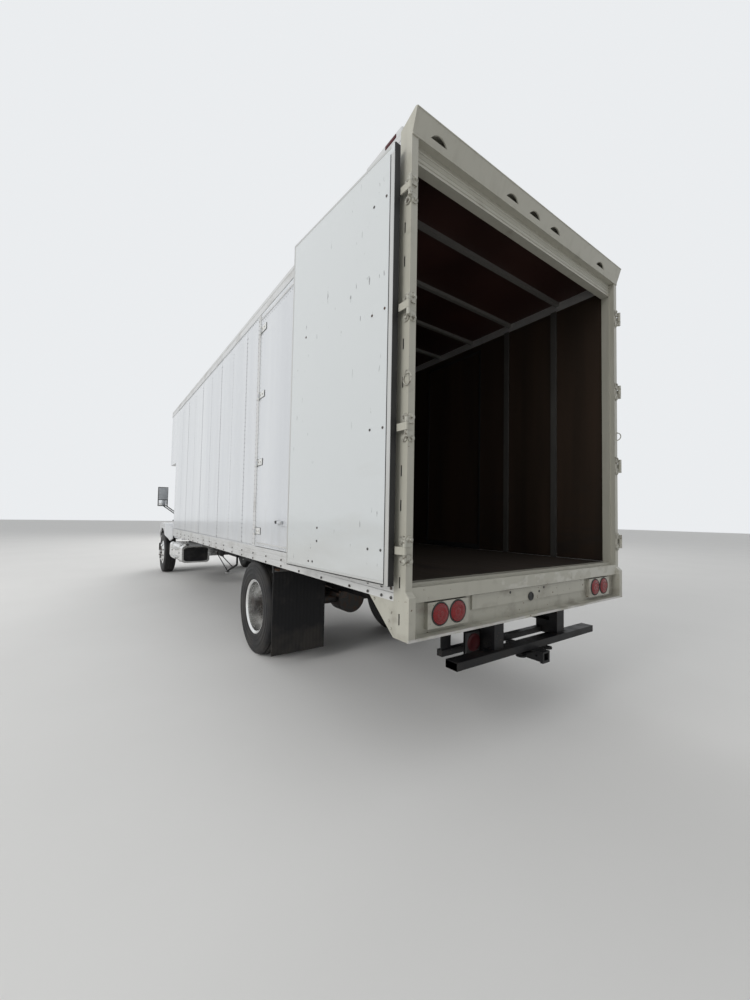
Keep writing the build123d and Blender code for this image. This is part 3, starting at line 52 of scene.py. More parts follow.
camera = bpy.data.objects.new("camera", camera_data)
scene.collection.objects.link(camera)
camera.matrix_world = Matrix((right, upward, -forward)).transposed().to_4x4()
camera.location = (2.76014, 7.30078, 1.55511)
scene.camera = camera
scene.view_settings.view_transform = "Standard"


class Nodes:
    """Anything that adds nodes to a material."""

    def __init__(self, tree):
        self.tree = tree

    def join(self, value, socket):
        """Link a wire to a socket, or set the socket to a number or vector, or a colour or grey."""
        if isinstance(value, Wire):
            self.tree.links.new(value.socket, socket)
        elif socket.type == "RGBA":
            socket.default_value = (*(value if isinstance(value, tuple) else [value] * 3), 1)
        else:
            socket.default_value = value

    def node(self, kind, sockets, output=0, **settings):
        """Any node: its settings first, then what its sockets hold."""
        made = self.tree.nodes.new(kind)
        for name, value in settings.items():
            setattr(made, name, value)
        for name, value in sockets.items():
            self.join(value, made.inputs[name])
        return Wire(self.tree, made.outputs[output])


class Wire(Nodes):
    """A number, colour or vector on its way through a material, so that sums read as sums."""

    def __init__(self, tree, socket):
        super().__init__(tree)
        self.socket = socket

    def sum(self, operation, *values):
        return self.node("ShaderNodeMath", dict(enumerate(values)), operation=operation)

    def __add__(self, other):
        return self.sum("ADD", self, other)

    def __sub__(self, other):
        return self.sum("SUBTRACT", self, other)

    def __rsub__(self, other):
        return self.sum("SUBTRACT", other, self)

    def __mul__(self, other):
        return self.sum("MULTIPLY", self, other)

    def __gt__(self, other):
        return self.sum("GREATER_THAN", self, other)

    def __lt__(self, other):
        return self.sum("LESS_THAN", self, other)

    __radd__, __rmul__ = __add__, __mul__

    def near(self, centre, half):
        """1 within half of centre, and 0 elsewhere."""
        return self.sum("COMPARE", self, centre, half)

    def folds(self, size):
        """Up to a size and down again, over and over."""
        return self.sum("PINGPONG", self, size)

    def ramp(self, low, high):
        """Spread so that low becomes 0 and high becomes 1."""
        return self.node("ShaderNodeMapRange", {"Value": self, "From Min": low, "From Max": high})

    def mix(self, first, second):
        """One colour where this is 0, the other where it is 1."""
        return self.node("ShaderNodeMix", {0: self, 6: first, 7: second}, 2, data_type="RGBA")


class Finish(Nodes):
    """One material: its nodes, and the surface that they feed."""

    INPUTS = {"color": "Base Color", "coat": "Coat Weight", "specular": "Specular IOR Level"}

    def __init__(self, name, **values):
        self.material = bpy.data.materials.new(name)
        self.material.use_nodes = True
        super().__init__(self.material.node_tree)
        self.surface = self.tree.nodes["Principled BSDF"]
        self.feed(**values)
        self.place = self.node("ShaderNodeTexCoord", {}, "Object")
        self.x, self.y, self.z = (self.node("ShaderNodeSeparateXYZ", {"Vector": self.place}, axis)
                                  for axis in "XYZ")

    def feed(self, **values):
        """Give the surface its values."""
        for name, value in values.items():
            self.join(value, self.surface.inputs[self.INPUTS.get(name, name.title())])

    def noise(self, scale, stretch=(1.0, 1.0, 1.0), detail=3.0):
        """Cloudy values from 0 to 1, drawn out along an axis where stretch is small."""
        spread = self.node("ShaderNodeVectorMath", {0: self.place, 1: stretch}, operation="MULTIPLY")
        return self.node("ShaderNodeTexNoise", {"Vector": spread, "Scale": scale, "Detail": detail})

    def bump(self, height, distance, strength):
        """Shade the surface as if raised by a height, distance metres for 1."""
        sockets = {"Height": height, "Distance": distance, "Strength": strength}
        self.feed(normal=self.node("ShaderNodeBump", sockets))


def worn(name, first, second, scale, spread=None, detail=3.0, share=1.0, rough=None, relief=None, **values):
    """A finish of one colour clouded with another, which can be rougher there and raised."""
    finish = Finish(name, **values)
    cloud = finish.noise(scale, detail=detail)
    cloud = cloud.ramp(*spread) if spread else cloud
    finish.feed(color=(cloud * share).mix(first, second))
    if rough:
        finish.feed(roughness=cloud * rough[1] + rough[0])
    if relief:
        finish.bump(cloud, *relief)
    return finish


def dress(finish, *names):
    """Give CAD nodes a material in place of their own."""
    for name in names:
        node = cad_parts[name]
        for slot in node.material_slots:
            slot.material = finish.material
        if not node.material_slots:
            node.data.materials.append(finish.material)


# Studio: a pale floor with a soft shadow, a pale sky all round that is brighter where it is seen
# than where it lights the truck, and two broad lamps.
bpy.ops.object.select_all(action="DESELECT")
bpy.ops.mesh.primitive_plane_add(size=160)
floor = bpy.context.active_object
floor.name = "floor"
concrete = Finish("pale_floor", roughness=0.85)
concrete.feed(color=concrete.noise(0.8, detail=6.0).mix((0.72, 0.71, 0.69), (0.77, 0.76, 0.74)))
floor.data.materials.append(concrete.material)
scene.world = bpy.data.worlds.new("sky")
scene.world.use_nodes = True
sky = Nodes(scene.world.node_tree)
background = sky.tree.nodes["Background"]
background.inputs["Color"].default_value = (0.90, 0.92, 0.94, 1)
seen = sum(sky.node("ShaderNodeLightPath", {}, f"Is {way} Ray")
           for way in ("Camera", "Glossy", "Transmission"))
sky.join((seen > 0.5) * 0.30 + 0.62, background.inputs["Strength"])
for name, place, aim, size, energy in (
        ("lamp_left", (17, 5, 9), (0, 1, 1.5), 11, 1700),
        ("lamp_front", (-10, -17, 12), (0, 0, 1.5), 12, 1500)):
    lamp = bpy.data.lights.new(name, "AREA")
    lamp.shape = "DISK"
    lamp.size = size
    lamp.energy = energy
    holder = bpy.data.objects.new(name, lamp)
    scene.collection.objects.link(holder)
    holder.location = place
    holder.visible_glossy = False
    holder.rotation_euler = (Vector(aim) - Vector(place)).to_track_quat("-Z", "Y").to_euler()


# Side sheets, attic and bulkhead: pre-painted white aluminium, glossy and a little wavy between the
# posts that it is riveted to. The sheets lap at dark upright seams. Inside they are lined with ply,
# its tones painted far darker than ply as the shade inside the box.
REAR = 5.543
WALL_FACE = 1.290
LINING_FACE = 1.2535
SEAMS = [3.07, 4.24, 5.43, 6.63]
WALL_LOW, WALL_TOP = 1.210, 3.800
WHITE = (0.56, 0.574, 0.59)
# Ply tones: dark wood, painted darker still as the shade inside the box.
PLY_TONES_WITH_SHADE = (0.014, 0.008, 0.004), (0.038, 0.021, 0.011)


def ahead(distance):
    """Y of a place this far ahead of the rear frame's rear face."""
    return REAR - distance


def at(x, distance, z):
    """A place on the truck, given by its distance ahead."""
    return Vector((x, ahead(distance), z))


def sheet(name, lining_end=30.0, lining_low=-1.0):
    """White sheet outside, ply darkened by painted shade inside; the ply ends this far ahead and starts at a
    height.
    """
    skin = Finish(name)
    seam = sum(skin.y.near(ahead(place), 0.0035) for place in SEAMS)
    wave = skin.noise(1.6, (1, 1, 0.22), 2.0) * 0.7 + skin.noise(7.0, (1, 1, 0.4), 1.0) * 0.3
    low = 1 - skin.z.ramp(WALL_LOW, WALL_LOW + 0.8)
    dirt = (skin.noise(9.0, (1, 1, 0.3), 6.0) * 0.7 + low * 0.3).ramp(0.55, 0.95)
    ply_with_shade = skin.noise(3.0, (1, 1.2, 0.12), 8.0).ramp(0.35, 0.7).mix(*PLY_TONES_WITH_SHADE)
    inside = skin.x.near(0.0, LINING_FACE) * (skin.y > ahead(lining_end)) * (skin.z > lining_low)
    washed = skin.noise(2.4, (1, 1, 0.07), 5.0).ramp(0.35, 0.65).mix((0.50, 0.515, 0.535), WHITE)
    outer = seam.mix((dirt * 0.4).mix(washed, (0.34, 0.325, 0.29)), 0.07)
    skin.feed(color=inside.mix(outer, ply_with_shade), coat=0.5 - inside * 0.5,
              roughness=skin.noise(5.0) * 0.12 + 0.08 + inside * 0.5 + dirt * 0.15)
    skin.bump(wave + seam * 0.03, 0.012, 0.55)
    return skin


dress(sheet("white_sheet"), "side_wall_left", "side_wall_right")
dress(sheet("front_sheet", 7.912), "bulkhead")
dress(sheet("attic_sheet", 8.612, 2.66), "attic")


# Rivets of the side sheets: small aluminium domes, painted with the sheet but coloured dark here for
# dirt and painted shadow round each head, in pairs of columns down each seam, one column on the posts
# between, and rows along the rails.
X, Y, Z = (1, 0, 0), (0, 1, 0), (0, 0, 1)
SIDES = -1, 1


def clear():
    """Deselect everything, so that the next operator works on new pieces alone."""
    bpy.ops.object.select_all(action="DESELECT")


def take(piece):
    """Select one piece and make it the active one."""
    clear()
    piece.select_set(True)
    bpy.context.view_layer.objects.active = piece
    return piece


def shaped(piece, kind, **settings):
    """A piece after one more modifier, applied."""
    take(piece)
    modifier = piece.modifiers.new(kind.lower(), kind)
    for name, value in settings.items():
        setattr(modifier, name, value)
    bpy.ops.object.modifier_apply(modifier=modifier.name)
    return piece


def moved(piece, matrix):
    """A piece whose mesh has been moved or turned."""
    piece.data.transform(matrix)
    return piece


def disc(name, centre, axis, radius, depth, sides, edge=0.0, steps=1):
    """A short round or six-sided bar about its centre, with its rims rounded."""
    clear()
    bpy.ops.mesh.primitive_cylinder_add(vertices=sides, radius=radius, depth=depth)
    piece = bpy.context.active_object
    piece.name = name
    turn = Vector(Z).rotation_difference(Vector(axis)).to_matrix().to_4x4()
    moved(piece, Matrix.Translation(Vector(centre)) @ turn)
    return shaped(piece, "BEVEL", width=edge, segments=steps, limit_method="ANGLE",
                  angle_limit=math.radians(60)) if edge else piece


def copied(piece, move=(0, 0, 0)):
    """Another of a piece, moved, with its own mesh."""
    other = piece.copy()
    other.data = piece.data.copy()
    scene.collection.objects.link(other)
    return moved(other, Matrix.Translation(Vector(move)))


def row(piece, count, step, move=(0, 0, 0)):
    """A line of copies of a piece, each a step from the last."""
    return shaped(copied(piece, move), "ARRAY", count=count, use_relative_offset=False,
                  use_constant_offset=True, constant_offset_displace=step)


def mirrored(piece):
    """A piece turned into its mirror image on the truck's other side."""
    piece.data.transform(Matrix.Scale(-1, 4, X))
    piece.data.flip_normals()
    return piece


def painted(finish, *parts):
    """Parts with their own material, before they are joined to the rest of a piece."""
    for part in parts:
        part.data.materials.clear()
        part.data.materials.append(finish.material)
    return list(parts)


def built(*rows):
    """Parts, each from its finish, the function that makes it and what that function needs."""
    return [painted(finish, make(*values))[0] for finish, make, *values in rows]


def joined(name, parts):
    """Several parts as one."""
    take(parts[0])
    for part in parts:
        part.select_set(True)
    if len(parts) > 1:
        bpy.ops.object.join()
    parts[0].name = name
    return parts[0]


def fixed(name, parts, body, slot, *replaced, finish=None, angle=32):
    """Join and smooth a finished piece and fix it to its body. The slot that its finish comes from is not
    used.
    """
    piece = take(joined(name, parts))
    bpy.ops.object.shade_smooth_by_angle(angle=math.radians(angle))
    if finish:
        painted(finish, piece)
    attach(piece, body)
    if replaced:
        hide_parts(*replaced)
    return piece


def paired(name, parts, body, slot, *replaced, finish=None, matrix=Matrix()):
    """A piece on the truck's left and its mirror image on the right, each on its own side's body."""
    piece = moved(joined(name, parts), matrix)
    for side, half in (("right", mirrored(copied(piece))), ("left", piece)):
        words = (word.replace("left", side) for word in (body, slot, *replaced))
        fixed(f"{name}_{side}", [half], *words, finish=finish)


def discarded(*patterns):
    """Take away the pieces that others were copied from."""
    for pattern in patterns:
        bpy.data.objects.remove(pattern)


RIVET_PITCH = 0.051
RIVET_LOW = 1.24
RAIL_ROWS = WALL_LOW + 0.014, WALL_TOP - 0.014
SIDE_DOOR = (1.62, 2.57)
# Rivet heads: dark for dirt and for the painted shadow round each head.
rivet_dirt_and_shadow = worn("rivet_dirt_and_shadow", 0.13, (0.30, 0.31, 0.32), 60.0, rough=(0.2, 0.3), coat=0.2)
rivet = disc("rivet", (WALL_FACE + 0.0012, 0, 0), X, 0.0068, 0.004, 8, 0.002)
column_count = int((WALL_TOP - WALL_LOW - 0.06) / RIVET_PITCH)
columns = [place + shift for place in SEAMS for shift in (-0.014, 0.014)]
columns += [0.61, 1.21, 3.65, 4.82, 6.03, 7.23]
rivet_lines = [row(rivet, column_count, (0, 0, RIVET_PITCH), at(0, place, RIVET_LOW)) for place in columns]
rivet_lines += [row(rivet, count, (0, -RIVET_PITCH, 0), at(0, start, height))
                for height in RAIL_ROWS for start, count in ((0.14, 29), (2.72, 100))]
paired("wall_rivets", rivet_lines, "truck", "white_skin", finish=rivet_dirt_and_shadow)
discarded(rivet)


# Body rails: grooved bottom and top rails of mill aluminium, drawn along the body, dull and grimy
# in their grooves. The bottom rail is held by pairs of dark steel bolts.
RAIL_FACE = 1.295
BOLT_PLACES = [0.130, 0.226, 0.375, 0.599, 1.012] + [1.42 + 0.4 * n for n in range(16)]
metal_rail = Finish("rail_aluminium")
drawn = metal_rail.noise(22.0, (1, 0.02, 1), 4.0)
grime = metal_rail.noise(6.0, (1, 0.5, 1), 7.0).ramp(0.5, 0.78)
metal_rail.feed(color=(grime * 0.55).mix((0.64, 0.64, 0.63), (0.22, 0.20, 0.17)),
                roughness=drawn * 0.25 + 0.22 + grime * 0.25, metallic=0.6 - grime * 0.4)
metal_rail.bump(drawn, 0.0015, 0.4)
dress(metal_rail, "body_rails")
# Wall posts: dark steel, painted darker still as the shade inside the box.
post_steel_with_shade = Finish("post_steel_with_shade", roughness=0.5, metallic=0.3)
post_dirt = post_steel_with_shade.noise(8.0, (1, 1, 0.3), 6.0)
post_steel_with_shade.feed(color=post_dirt.mix((0.055, 0.052, 0.048), (0.13, 0.125, 0.115)))
dress(post_steel_with_shade, "wall_posts")
bolt_steel = worn("dark_bolt_steel", (0.09, 0.088, 0.085), (0.13, 0.06, 0.03), 40.0, (0.5, 0.7),
                  rough=(0.35, 0.3), metallic=0.6)
rail_bolt = disc("rail_bolt", (RAIL_FACE + 0.003, 0, 0), X, 0.010, 0.008, 10, 0.0035, 2)
rail_bolts = [copied(rail_bolt, at(0, place, height)) for place in BOLT_PLACES for height in (1.078, 1.134)]
paired("rail_bolts", rail_bolts, "truck", "chassis_black", finish=bolt_steel)
discarded(rail_bolt)


# Roof: one crowned white sheet on light bows, which are painted dark grey as the shade inside the
# box. Its underside is stained a dark red-brown, painted darker still as that shade, and its top is
# dirty where rain dries on it.
ROOF_UNDER = 3.890
cover = Finish("roof_sheet")
stain = cover.noise(1.3, (1, 0.6, 1), 6.0)
# Underside and bows: a dark red-brown stain and light grey bows, both painted much darker as the shade inside
# the box.
underside_stain_and_shade = stain.ramp(0.3, 0.7).mix((0.014, 0.005, 0.004), (0.040, 0.014, 0.010))
top = (cover.noise(2.5, detail=8.0).ramp(0.45, 0.75) * 0.5).mix(WHITE, (0.34, 0.32, 0.28))
bows_and_underside_in_shade = (cover.z < ROOF_UNDER - 0.002).mix(underside_stain_and_shade, (0.13, 0.125, 0.115))
cover.feed(color=(cover.z > ROOF_UNDER + 0.002).mix(bows_and_underside_in_shade, top), roughness=stain * 0.3 + 0.35)
cover.bump(stain, 0.004, 0.4)
dress(cover, "roof")


# Interior: sheets of plywood between the posts, screwed to them, scuffed where loads rub, over a
# dark hardwood floor laid lengthwise. The ply is painted far darker than plywood, as painted shade
# inside the box.
FLOOR_TOP = 1.169
PANEL_LOW = FLOOR_TOP + 0.004
POSTS = [0.580 + 0.600 * n for n in range(13)]
POST_WIDE = 0.060
PLY_GAP = 0.004


def slab(name, low, high, edge=0.0, steps=2):
    """A box between two corners with its edges rounded, as the start of a piece."""
    clear()
    low, high = Vector(low), Vector(high)
    bpy.ops.mesh.primitive_cube_add(size=1, location=(low + high) / 2, scale=high - low)
    piece = bpy.context.active_object
    piece.name = name
    bpy.ops.object.transform_apply(location=True, rotation=True, scale=True)
    return shaped(piece, "BEVEL", width=edge, segments=steps, limit_method="ANGLE") if edge else piece


def block(name, across, along, tall, edge=0.0, steps=2):
    """A slab between two places across the truck, two distances ahead and two heights."""
    low, high = zip(*map(sorted, (across, map(ahead, along), tall)))
    return slab(name, low, high, edge, steps)


def about(centre, half):
    """The places this far to either side of a centre."""
    return centre - half, centre + half


ply_with_shade = Finish("lining_ply_with_painted_shade")
grain = ply_with_shade.noise(3.2, (1, 1.6, 0.1), 8.0)
scuff = (ply_with_shade.noise(7.0, (1, 0.25, 1), 5.0) - ply_with_shade.z.ramp(1.2, 2.6) * 0.15).ramp(0.5, 0.62)
panel_shade = ply_with_shade.noise(0.9, (1, 1, 0.05), 0.0).ramp(0.4, 0.6) * 0.5
wood_with_shade = panel_shade.mix(grain.ramp(0.3, 0.7).mix(*PLY_TONES_WITH_SHADE), (0.013, 0.007, 0.004))
ply_with_shade.feed(color=(scuff * 0.6).mix(wood_with_shade, (0.013, 0.010, 0.008)), roughness=grain * 0.25 + 0.5)
ply_with_shade.bump(grain + scuff * 0.4, 0.002, 0.5)
screw = disc("screw", (1.2432, 0, 0), X, 0.005, 0.0015, 8)
lining_parts = []
starts = [0.112] + [post + POST_WIDE + PLY_GAP for post in POSTS]
ends = [post - PLY_GAP for post in POSTS] + [7.906]
for start, end in zip(starts, ends):
    if start < SIDE_DOOR[0] < end:
        end = SIDE_DOOR[0] - 0.006
    elif start < SIDE_DOOR[1] < end:
        start = SIDE_DOOR[1] + 0.006
    elif SIDE_DOOR[0] < start < SIDE_DOOR[1]:
        continue
    lining_parts.append(block("lining_panel", (1.2438, 1.2505), (start, end), (PANEL_LOW, WALL_TOP - 0.02),
                              0.002, 1))
    lining_parts += [copied(screw, at(0, start + 0.025, height)) for height in (1.3, 2.0, 2.7, 3.4)]
discarded(screw)
paired("wall_lining", lining_parts, "truck", "floor_wood", finish=ply_with_shade)
boards = Finish("floor_boards")
joint = boards.x.folds(0.14) < 0.0035
veins = boards.noise(5.0, (6, 0.35, 1), 8.0)
tone = veins.ramp(0.3, 0.7).mix((0.012, 0.009, 0.007), (0.045, 0.031, 0.022))
boards.feed(color=(boards.z > FLOOR_TOP - 0.033).mix(0.035, joint.mix(tone, (0.008, 0.007, 0.006))),
            roughness=veins * 0.3 + 0.42)
boards.bump(veins - joint * 1.5, 0.003, 0.6)
dress(boards, "van_floor")


# Rear frame: pressed steel posts, header and sill, welded, in light grey paint that has yellowed.
# Rain has streaked the header and loads have worn and stained the sill down to its lip.
DULL_YELLOW = (0.40, 0.388, 0.33)
SILL_LIP_TOP = 0.869
grey = Finish("frame_paint", coat=0.15)
blotch = grey.noise(5.5, (1, 1, 1.6), 8.0)
low_down = 1 - grey.z.ramp(1.03, 1.20)
soiled = (blotch + low_down * 0.14).ramp(0.64, 0.92)
streaked = grey.noise(11.0, (1.5, 1.5, 0.12), 6.0).ramp(0.52, 0.72)
chipped = (grey.noise(34.0, detail=4.0) + low_down * 0.06).ramp(0.745, 0.765)
lip = (grey.z < SILL_LIP_TOP) * (grey.y > REAR + 0.02)
worn_lip = lip * grey.noise(14.0, (0.3, 1, 1), 5.0).ramp(0.4, 0.55)
band = grey.z.near(1.105, 0.040) * (grey.y > REAR - 0.004)
scraped = band * (grey.noise(9.0, (1, 1, 1.4), 7.0) - grey.x * 0.10).ramp(0.52, 0.60)
# Near-black line where the sill's band laps the channel: painted shadow in the gap.
lap_shadow_line = grey.z.near(1.0575, 0.0035) * grey.x.near(0.0, 1.235)
paint = DULL_YELLOW
for mask, color in ((streaked * 0.35, (0.31, 0.295, 0.245)), (soiled * 0.7, (0.17, 0.15, 0.12)),
                    (chipped, (0.10, 0.055, 0.03)), (scraped * 0.55, (0.54, 0.53, 0.48)),
                    (lap_shadow_line, (0.02, 0.018, 0.015)), (worn_lip, (0.55, 0.54, 0.52))):
    paint = mask.mix(paint, color)
grey.feed(color=paint, roughness=blotch * 0.25 + 0.28 + soiled * 0.2, metallic=worn_lip * 0.7)
grey.bump(grey.noise(90.0) * 0.3 - chipped * 0.5 + blotch, 0.0015, 0.5)
dress(grey, "rear_frame")
header_parts = [block("fold", about(0, reach), about(distance, radius), about(height, radius),
                      radius * 0.8, 3)
                for reach, distance, height, radius in (
                    (1.245, 0.042, 3.744, 0.005), (1.245, 0.042, 3.772, 0.004), (1.245, 0.042, 3.806, 0.006),
                    (1.296, -0.003, 3.838, 0.0055), (1.296, -0.044, 3.972, 0.0045))]
header_parts += [block("door_stop", about(side * 1.238, 0.007), (0.044, 0.070), about(height, 0.03), 0.004)
                 for side in SIDES for height in (1.30, 3.60)]
fixed("header_channel_beads", header_parts, "truck", "frame_paint", finish=grey)


# Hold-back rings: round steel rod, one hung from a staple at each post's rear corner, for the door's
# hook, and the bolts in the gussets below. All are in the hinges' worn paint.
POST_FACE = 1.295
hinge_steel = Finish("hinge_steel")
rub = hinge_steel.noise(45.0, detail=5.0).ramp(0.5, 0.66)
hinge_steel.feed(color=rub.mix((0.42, 0.41, 0.355), (0.19, 0.17, 0.14)), roughness=rub * 0.3 + 0.25,
                 metallic=rub * 0.5 + 0.15)
hinge_steel.bump(rub, 0.0008, 0.6)
dress(hinge_steel, "hinge_butts")
strap_steel = worn("strap_steel", (0.70, 0.70, 0.68), (0.30, 0.29, 0.27), 50.0, (0.5, 0.7), 5.0, 0.5,
                   (0.28, 0.25), (0.0006, 0.5), metallic=0.3)
dress(strap_steel, "side_hinge_butts")


def hoop(radius, thick, sides, round_sides, centre=(0, 0, 0), turn=(0, 0, 0)):
    """A round bar bent into a ring."""
    clear()
    bpy.ops.mesh.primitive_torus_add(major_radius=radius, minor_radius=thick, major_segments=sides,
                                     minor_segments=round_sides, location=centre, rotation=turn)
    bpy.ops.object.transform_apply(location=True, rotation=True, scale=True)
    return bpy.context.active_object


ring_parts = []
for side in SIDES:
    ring_parts += [
        hoop(0.0355, 0.0045, 40, 10, at(side * 1.3005, 0.006, 2.36), (0, math.radians(90), 0)),
        block("staple", about(side * POST_FACE + 0.005, 0.007), (-0.006, 0.020), (2.386, 2.402), 0.005, 3),
        block("plate", about(side * POST_FACE + 0.001, 0.002), (0.002, 0.030), (2.376, 2.416), 0.002)]
    ring_parts += [disc("gusset_bolt", at(side * 1.297, distance, height), (side, 0, 0),
                        0.009, 0.007, 6, 0.002)
                   for distance, height in ((0.125, 0.995), (0.150, 0.94), (0.128, 0.90), (0.30, 1.045))]
fixed("hold_back_rings", ring_parts, "truck", "hinge_steel", finish=hinge_steel)


# Rear hinges: each butt has a lobed ear above and below its knuckles, held by a dome-headed bolt.
# Like the butts, the ears are forged steel, painted with the frame and rubbed bare at the rims.
EAR_PARTS = (("hinge_ear", 1.272, -0.0045, 0.062, Y, 0.024, 0.009, 28, 0.0025, 2),
             ("ear_washer", 1.272, -0.010, 0.064, Y, 0.014, 0.003, 24, 0.001),
             ("ear_bolt", 1.272, -0.0145, 0.064, Y, 0.0105, 0.008, 6, 0.0025, 2),
             ("side_ear", 1.2985, 0.026, 0.058, X, 0.027, 0.009, 28, 0.003, 2),
             ("side_bolt", 1.305, 0.026, 0.060, X, 0.011, 0.009, 6, 0.003))
ear_parts = [disc(name, at(x, distance, height + way * rise), *sizes)
             for height in (1.364, 2.076, 2.788, 3.500) for way in SIDES
             for name, x, distance, rise, *sizes in EAR_PARTS]
paired("hinge_ears", ear_parts, "truck", "hinge_steel", finish=hinge_steel)


# Post slots: the long slots in the outer face of each post open on the hollow behind it. Thin
# near-black plates set in them are painted shadow of that hollow.
slot_shadow = Finish("painted_slot_shadow", color=0.006)
slot_shadow.feed(roughness=slot_shadow.noise(50.0) * 0.2 + 0.8)
slot_parts = [block("slot_shadow_plate", about(side * 1.2905, 0.002), about(0.054, 0.0062), about(height, 0.0327),
                    0.0005)
              for height in (0.966, 1.177, 1.623, 1.826, 2.351, 2.581, 3.082, 3.290) for side in SIDES]
fixed("slot_shadow_plates", slot_parts, "truck", "chassis_black", finish=slot_shadow)


# Rear lamps: moulded red lenses with rings and a small-square reflex pattern, in black rubber
# grommets, two in each box on the sill, and one on each side in a housing under the floor.
black_rubber = Finish("lamp_rubber", color=0.02)
black_rubber.feed(roughness=black_rubber.noise(50.0) * 0.3 + 0.45)
lens = Finish("red_lens", coat=0.25, specular=0.3)
cells = lens.node("ShaderNodeTexChecker", {"Vector": lens.place, "Scale": 260.0}, 1)
lens_tone = lens.noise(14.0, detail=2.0)
lens.feed(color=lens_tone.mix((0.13, 0.003, 0.005), (0.27, 0.008, 0.010)), roughness=lens_tone * 0.1 + 0.08)
lens.bump(cells * 0.5 + lens_tone, 0.0008, 0.7)
dull_lens = worn("dirty_red_lens", (0.030, 0.004, 0.005), (0.085, 0.012, 0.014), 20.0, detail=5.0,
                 roughness=0.4, specular=0.25)


def lathe(name, points, centre, axis, steps):
    """A round piece: an outline of (along the axis, radius), drawn point by point and spun about it."""
    axis = Vector(axis)
    outward = Vector(Z) if abs(axis.z) < 0.5 else Vector(X)
    places = [Vector(centre) + axis * along + outward * radius for along, radius in points]
    clear()
    bpy.ops.mesh.primitive_plane_add(size=0.01, location=places[0])
    piece = bpy.context.active_object
    piece.name = name
    bpy.ops.object.transform_apply(location=True, rotation=True, scale=True)
    bpy.ops.object.mode_set(mode="EDIT")
    bpy.ops.mesh.select_mode(type="VERT")
    bpy.ops.mesh.select_all(action="SELECT")
    bpy.ops.mesh.merge(type="CENTER")
    for start, end in zip(places, places[1:]):
        bpy.ops.mesh.extrude_region_move(TRANSFORM_OT_translate={"value": end - start})
    bpy.ops.mesh.select_all(action="SELECT")
    bpy.ops.mesh.spin(steps=steps, angle=math.tau, center=centre, axis=axis)
    bpy.ops.mesh.select_all(action="SELECT")
    bpy.ops.mesh.remove_doubles(threshold=0.00005)
    bpy.ops.mesh.normals_make_consistent(inside=False)
    bpy.ops.object.mode_set(mode="OBJECT")
    return piece


LENS = [(-0.0165, 0.0), (-0.0165, 0.064), (0.004, 0.064), (0.007, 0.0615), (0.0085, 0.056), (0.0075, 0.054),
        (0.009, 0.052), (0.0105, 0.040), (0.0095, 0.038), (0.011, 0.036), (0.0118, 0.022), (0.0108, 0.020),
        (0.012, 0.018), (0.0122, 0.0)]
GROMMET = [(-0.014, 0.0635), (-0.014, 0.071), (0.001, 0.073), (0.0055, 0.071), (0.0065, 0.067),
           (0.003, 0.0635), (-0.014, 0.0635)]
UNDER_LENS = [(-0.002, 0.0), (-0.002, 0.064), (0.004, 0.062), (0.006, 0.044), (0.005, 0.042), (0.007, 0.0)]
lamp_parts = []
for side in SIDES:
    for x in (0.864, 1.015):
        centre = at(side * x, 0.003, 0.9755)
        lamp_parts += built((lens, lathe, "lens", LENS, centre, Y, 48),
                            (black_rubber, lathe, "grommet", GROMMET, centre, Y, 48))
    x = side * 0.530
    lamp_parts += built((black_rubber, block, "housing", about(x, 0.070), (0.160, 0.185), (0.600, 0.760),
                         0.012, 3),
                        (dull_lens, lathe, "under_lens", UNDER_LENS, at(x, 0.160, 0.685), Y, 40))
fixed("rear_lamp_set", lamp_parts, "truck", "lamp_red", "rear_lamps")


# Sill fittings: a plug socket in a rubber ring in the middle of the sill, and three bare bolt holes
# in the band beside it, drawn as near-black discs: painted shade inside the holes.
SOCKET_RING = [(0.0, 0.020), (0.0, 0.031), (0.004, 0.033), (0.008, 0.030), (0.009, 0.024), (0.006, 0.020),
               (0.0, 0.020)]
sill_parts = [lathe("socket_ring", SOCKET_RING, at(0.065, 0.020, 0.985), Y, 32),
              disc("socket", at(0.065, 0.018, 0.985), Y, 0.0205, 0.004, 32, 0.001)]
sill_parts += [disc("hole_shadow_disc", at(x, 0.0197, height), Y, 0.0095, 0.0016, 20, 0.0004)
               for x, height in ((0.31, 1.035), (-0.045, 1.012), (-0.108, 1.036))]
fixed("sill_socket", sill_parts, "truck", "trim_plastic", finish=black_rubber)


# Rear doors: glossy pale laminated panels, seen from their inner faces while they are open, edged
# with aluminium, with a broad black seal on the hinge side, the panel's hinge edge painted near-black
# beside it as the shadow of the gap by the post, and the holes of the hinge bolts.
DOOR_LOW, DOOR_HIGH = 1.158, 3.790
SEAL_TOP = 3.734
DOOR_INNER = 0.034
DOOR_BED = DOOR_INNER - 0.002
PIN = at(1.317, -0.014, 0)


def turn_about(place, degrees, axis):
    """A turn about an axis through a place."""
    turn = Matrix.Rotation(math.radians(degrees), 4, axis)
    return Matrix.Translation(place) @ turn @ Matrix.Translation(-place)


swing = turn_about(PIN, -265.5, "Z")
panel = Finish("door_panel")
cloud = panel.noise(1.1, (1, 1, 0.6))
fine = panel.noise(130.0, (1, 1, 0.03))
scrape = panel.noise(24.0, (1, 1.4, 0.35), 5.0).ramp(0.68, 0.71) * panel.noise(1.7).ramp(0.46, 0.54)
foot = 1 - panel.z.ramp(DOOR_LOW, DOOR_LOW + 0.55)
film = (panel.noise(4.0, (1, 0.4, 1.5), 7.0) * 0.7 + foot * 0.4).ramp(0.45, 0.95)
tint = (film * 0.5).mix((0.53, 0.55, 0.55), (0.38, 0.365, 0.33))
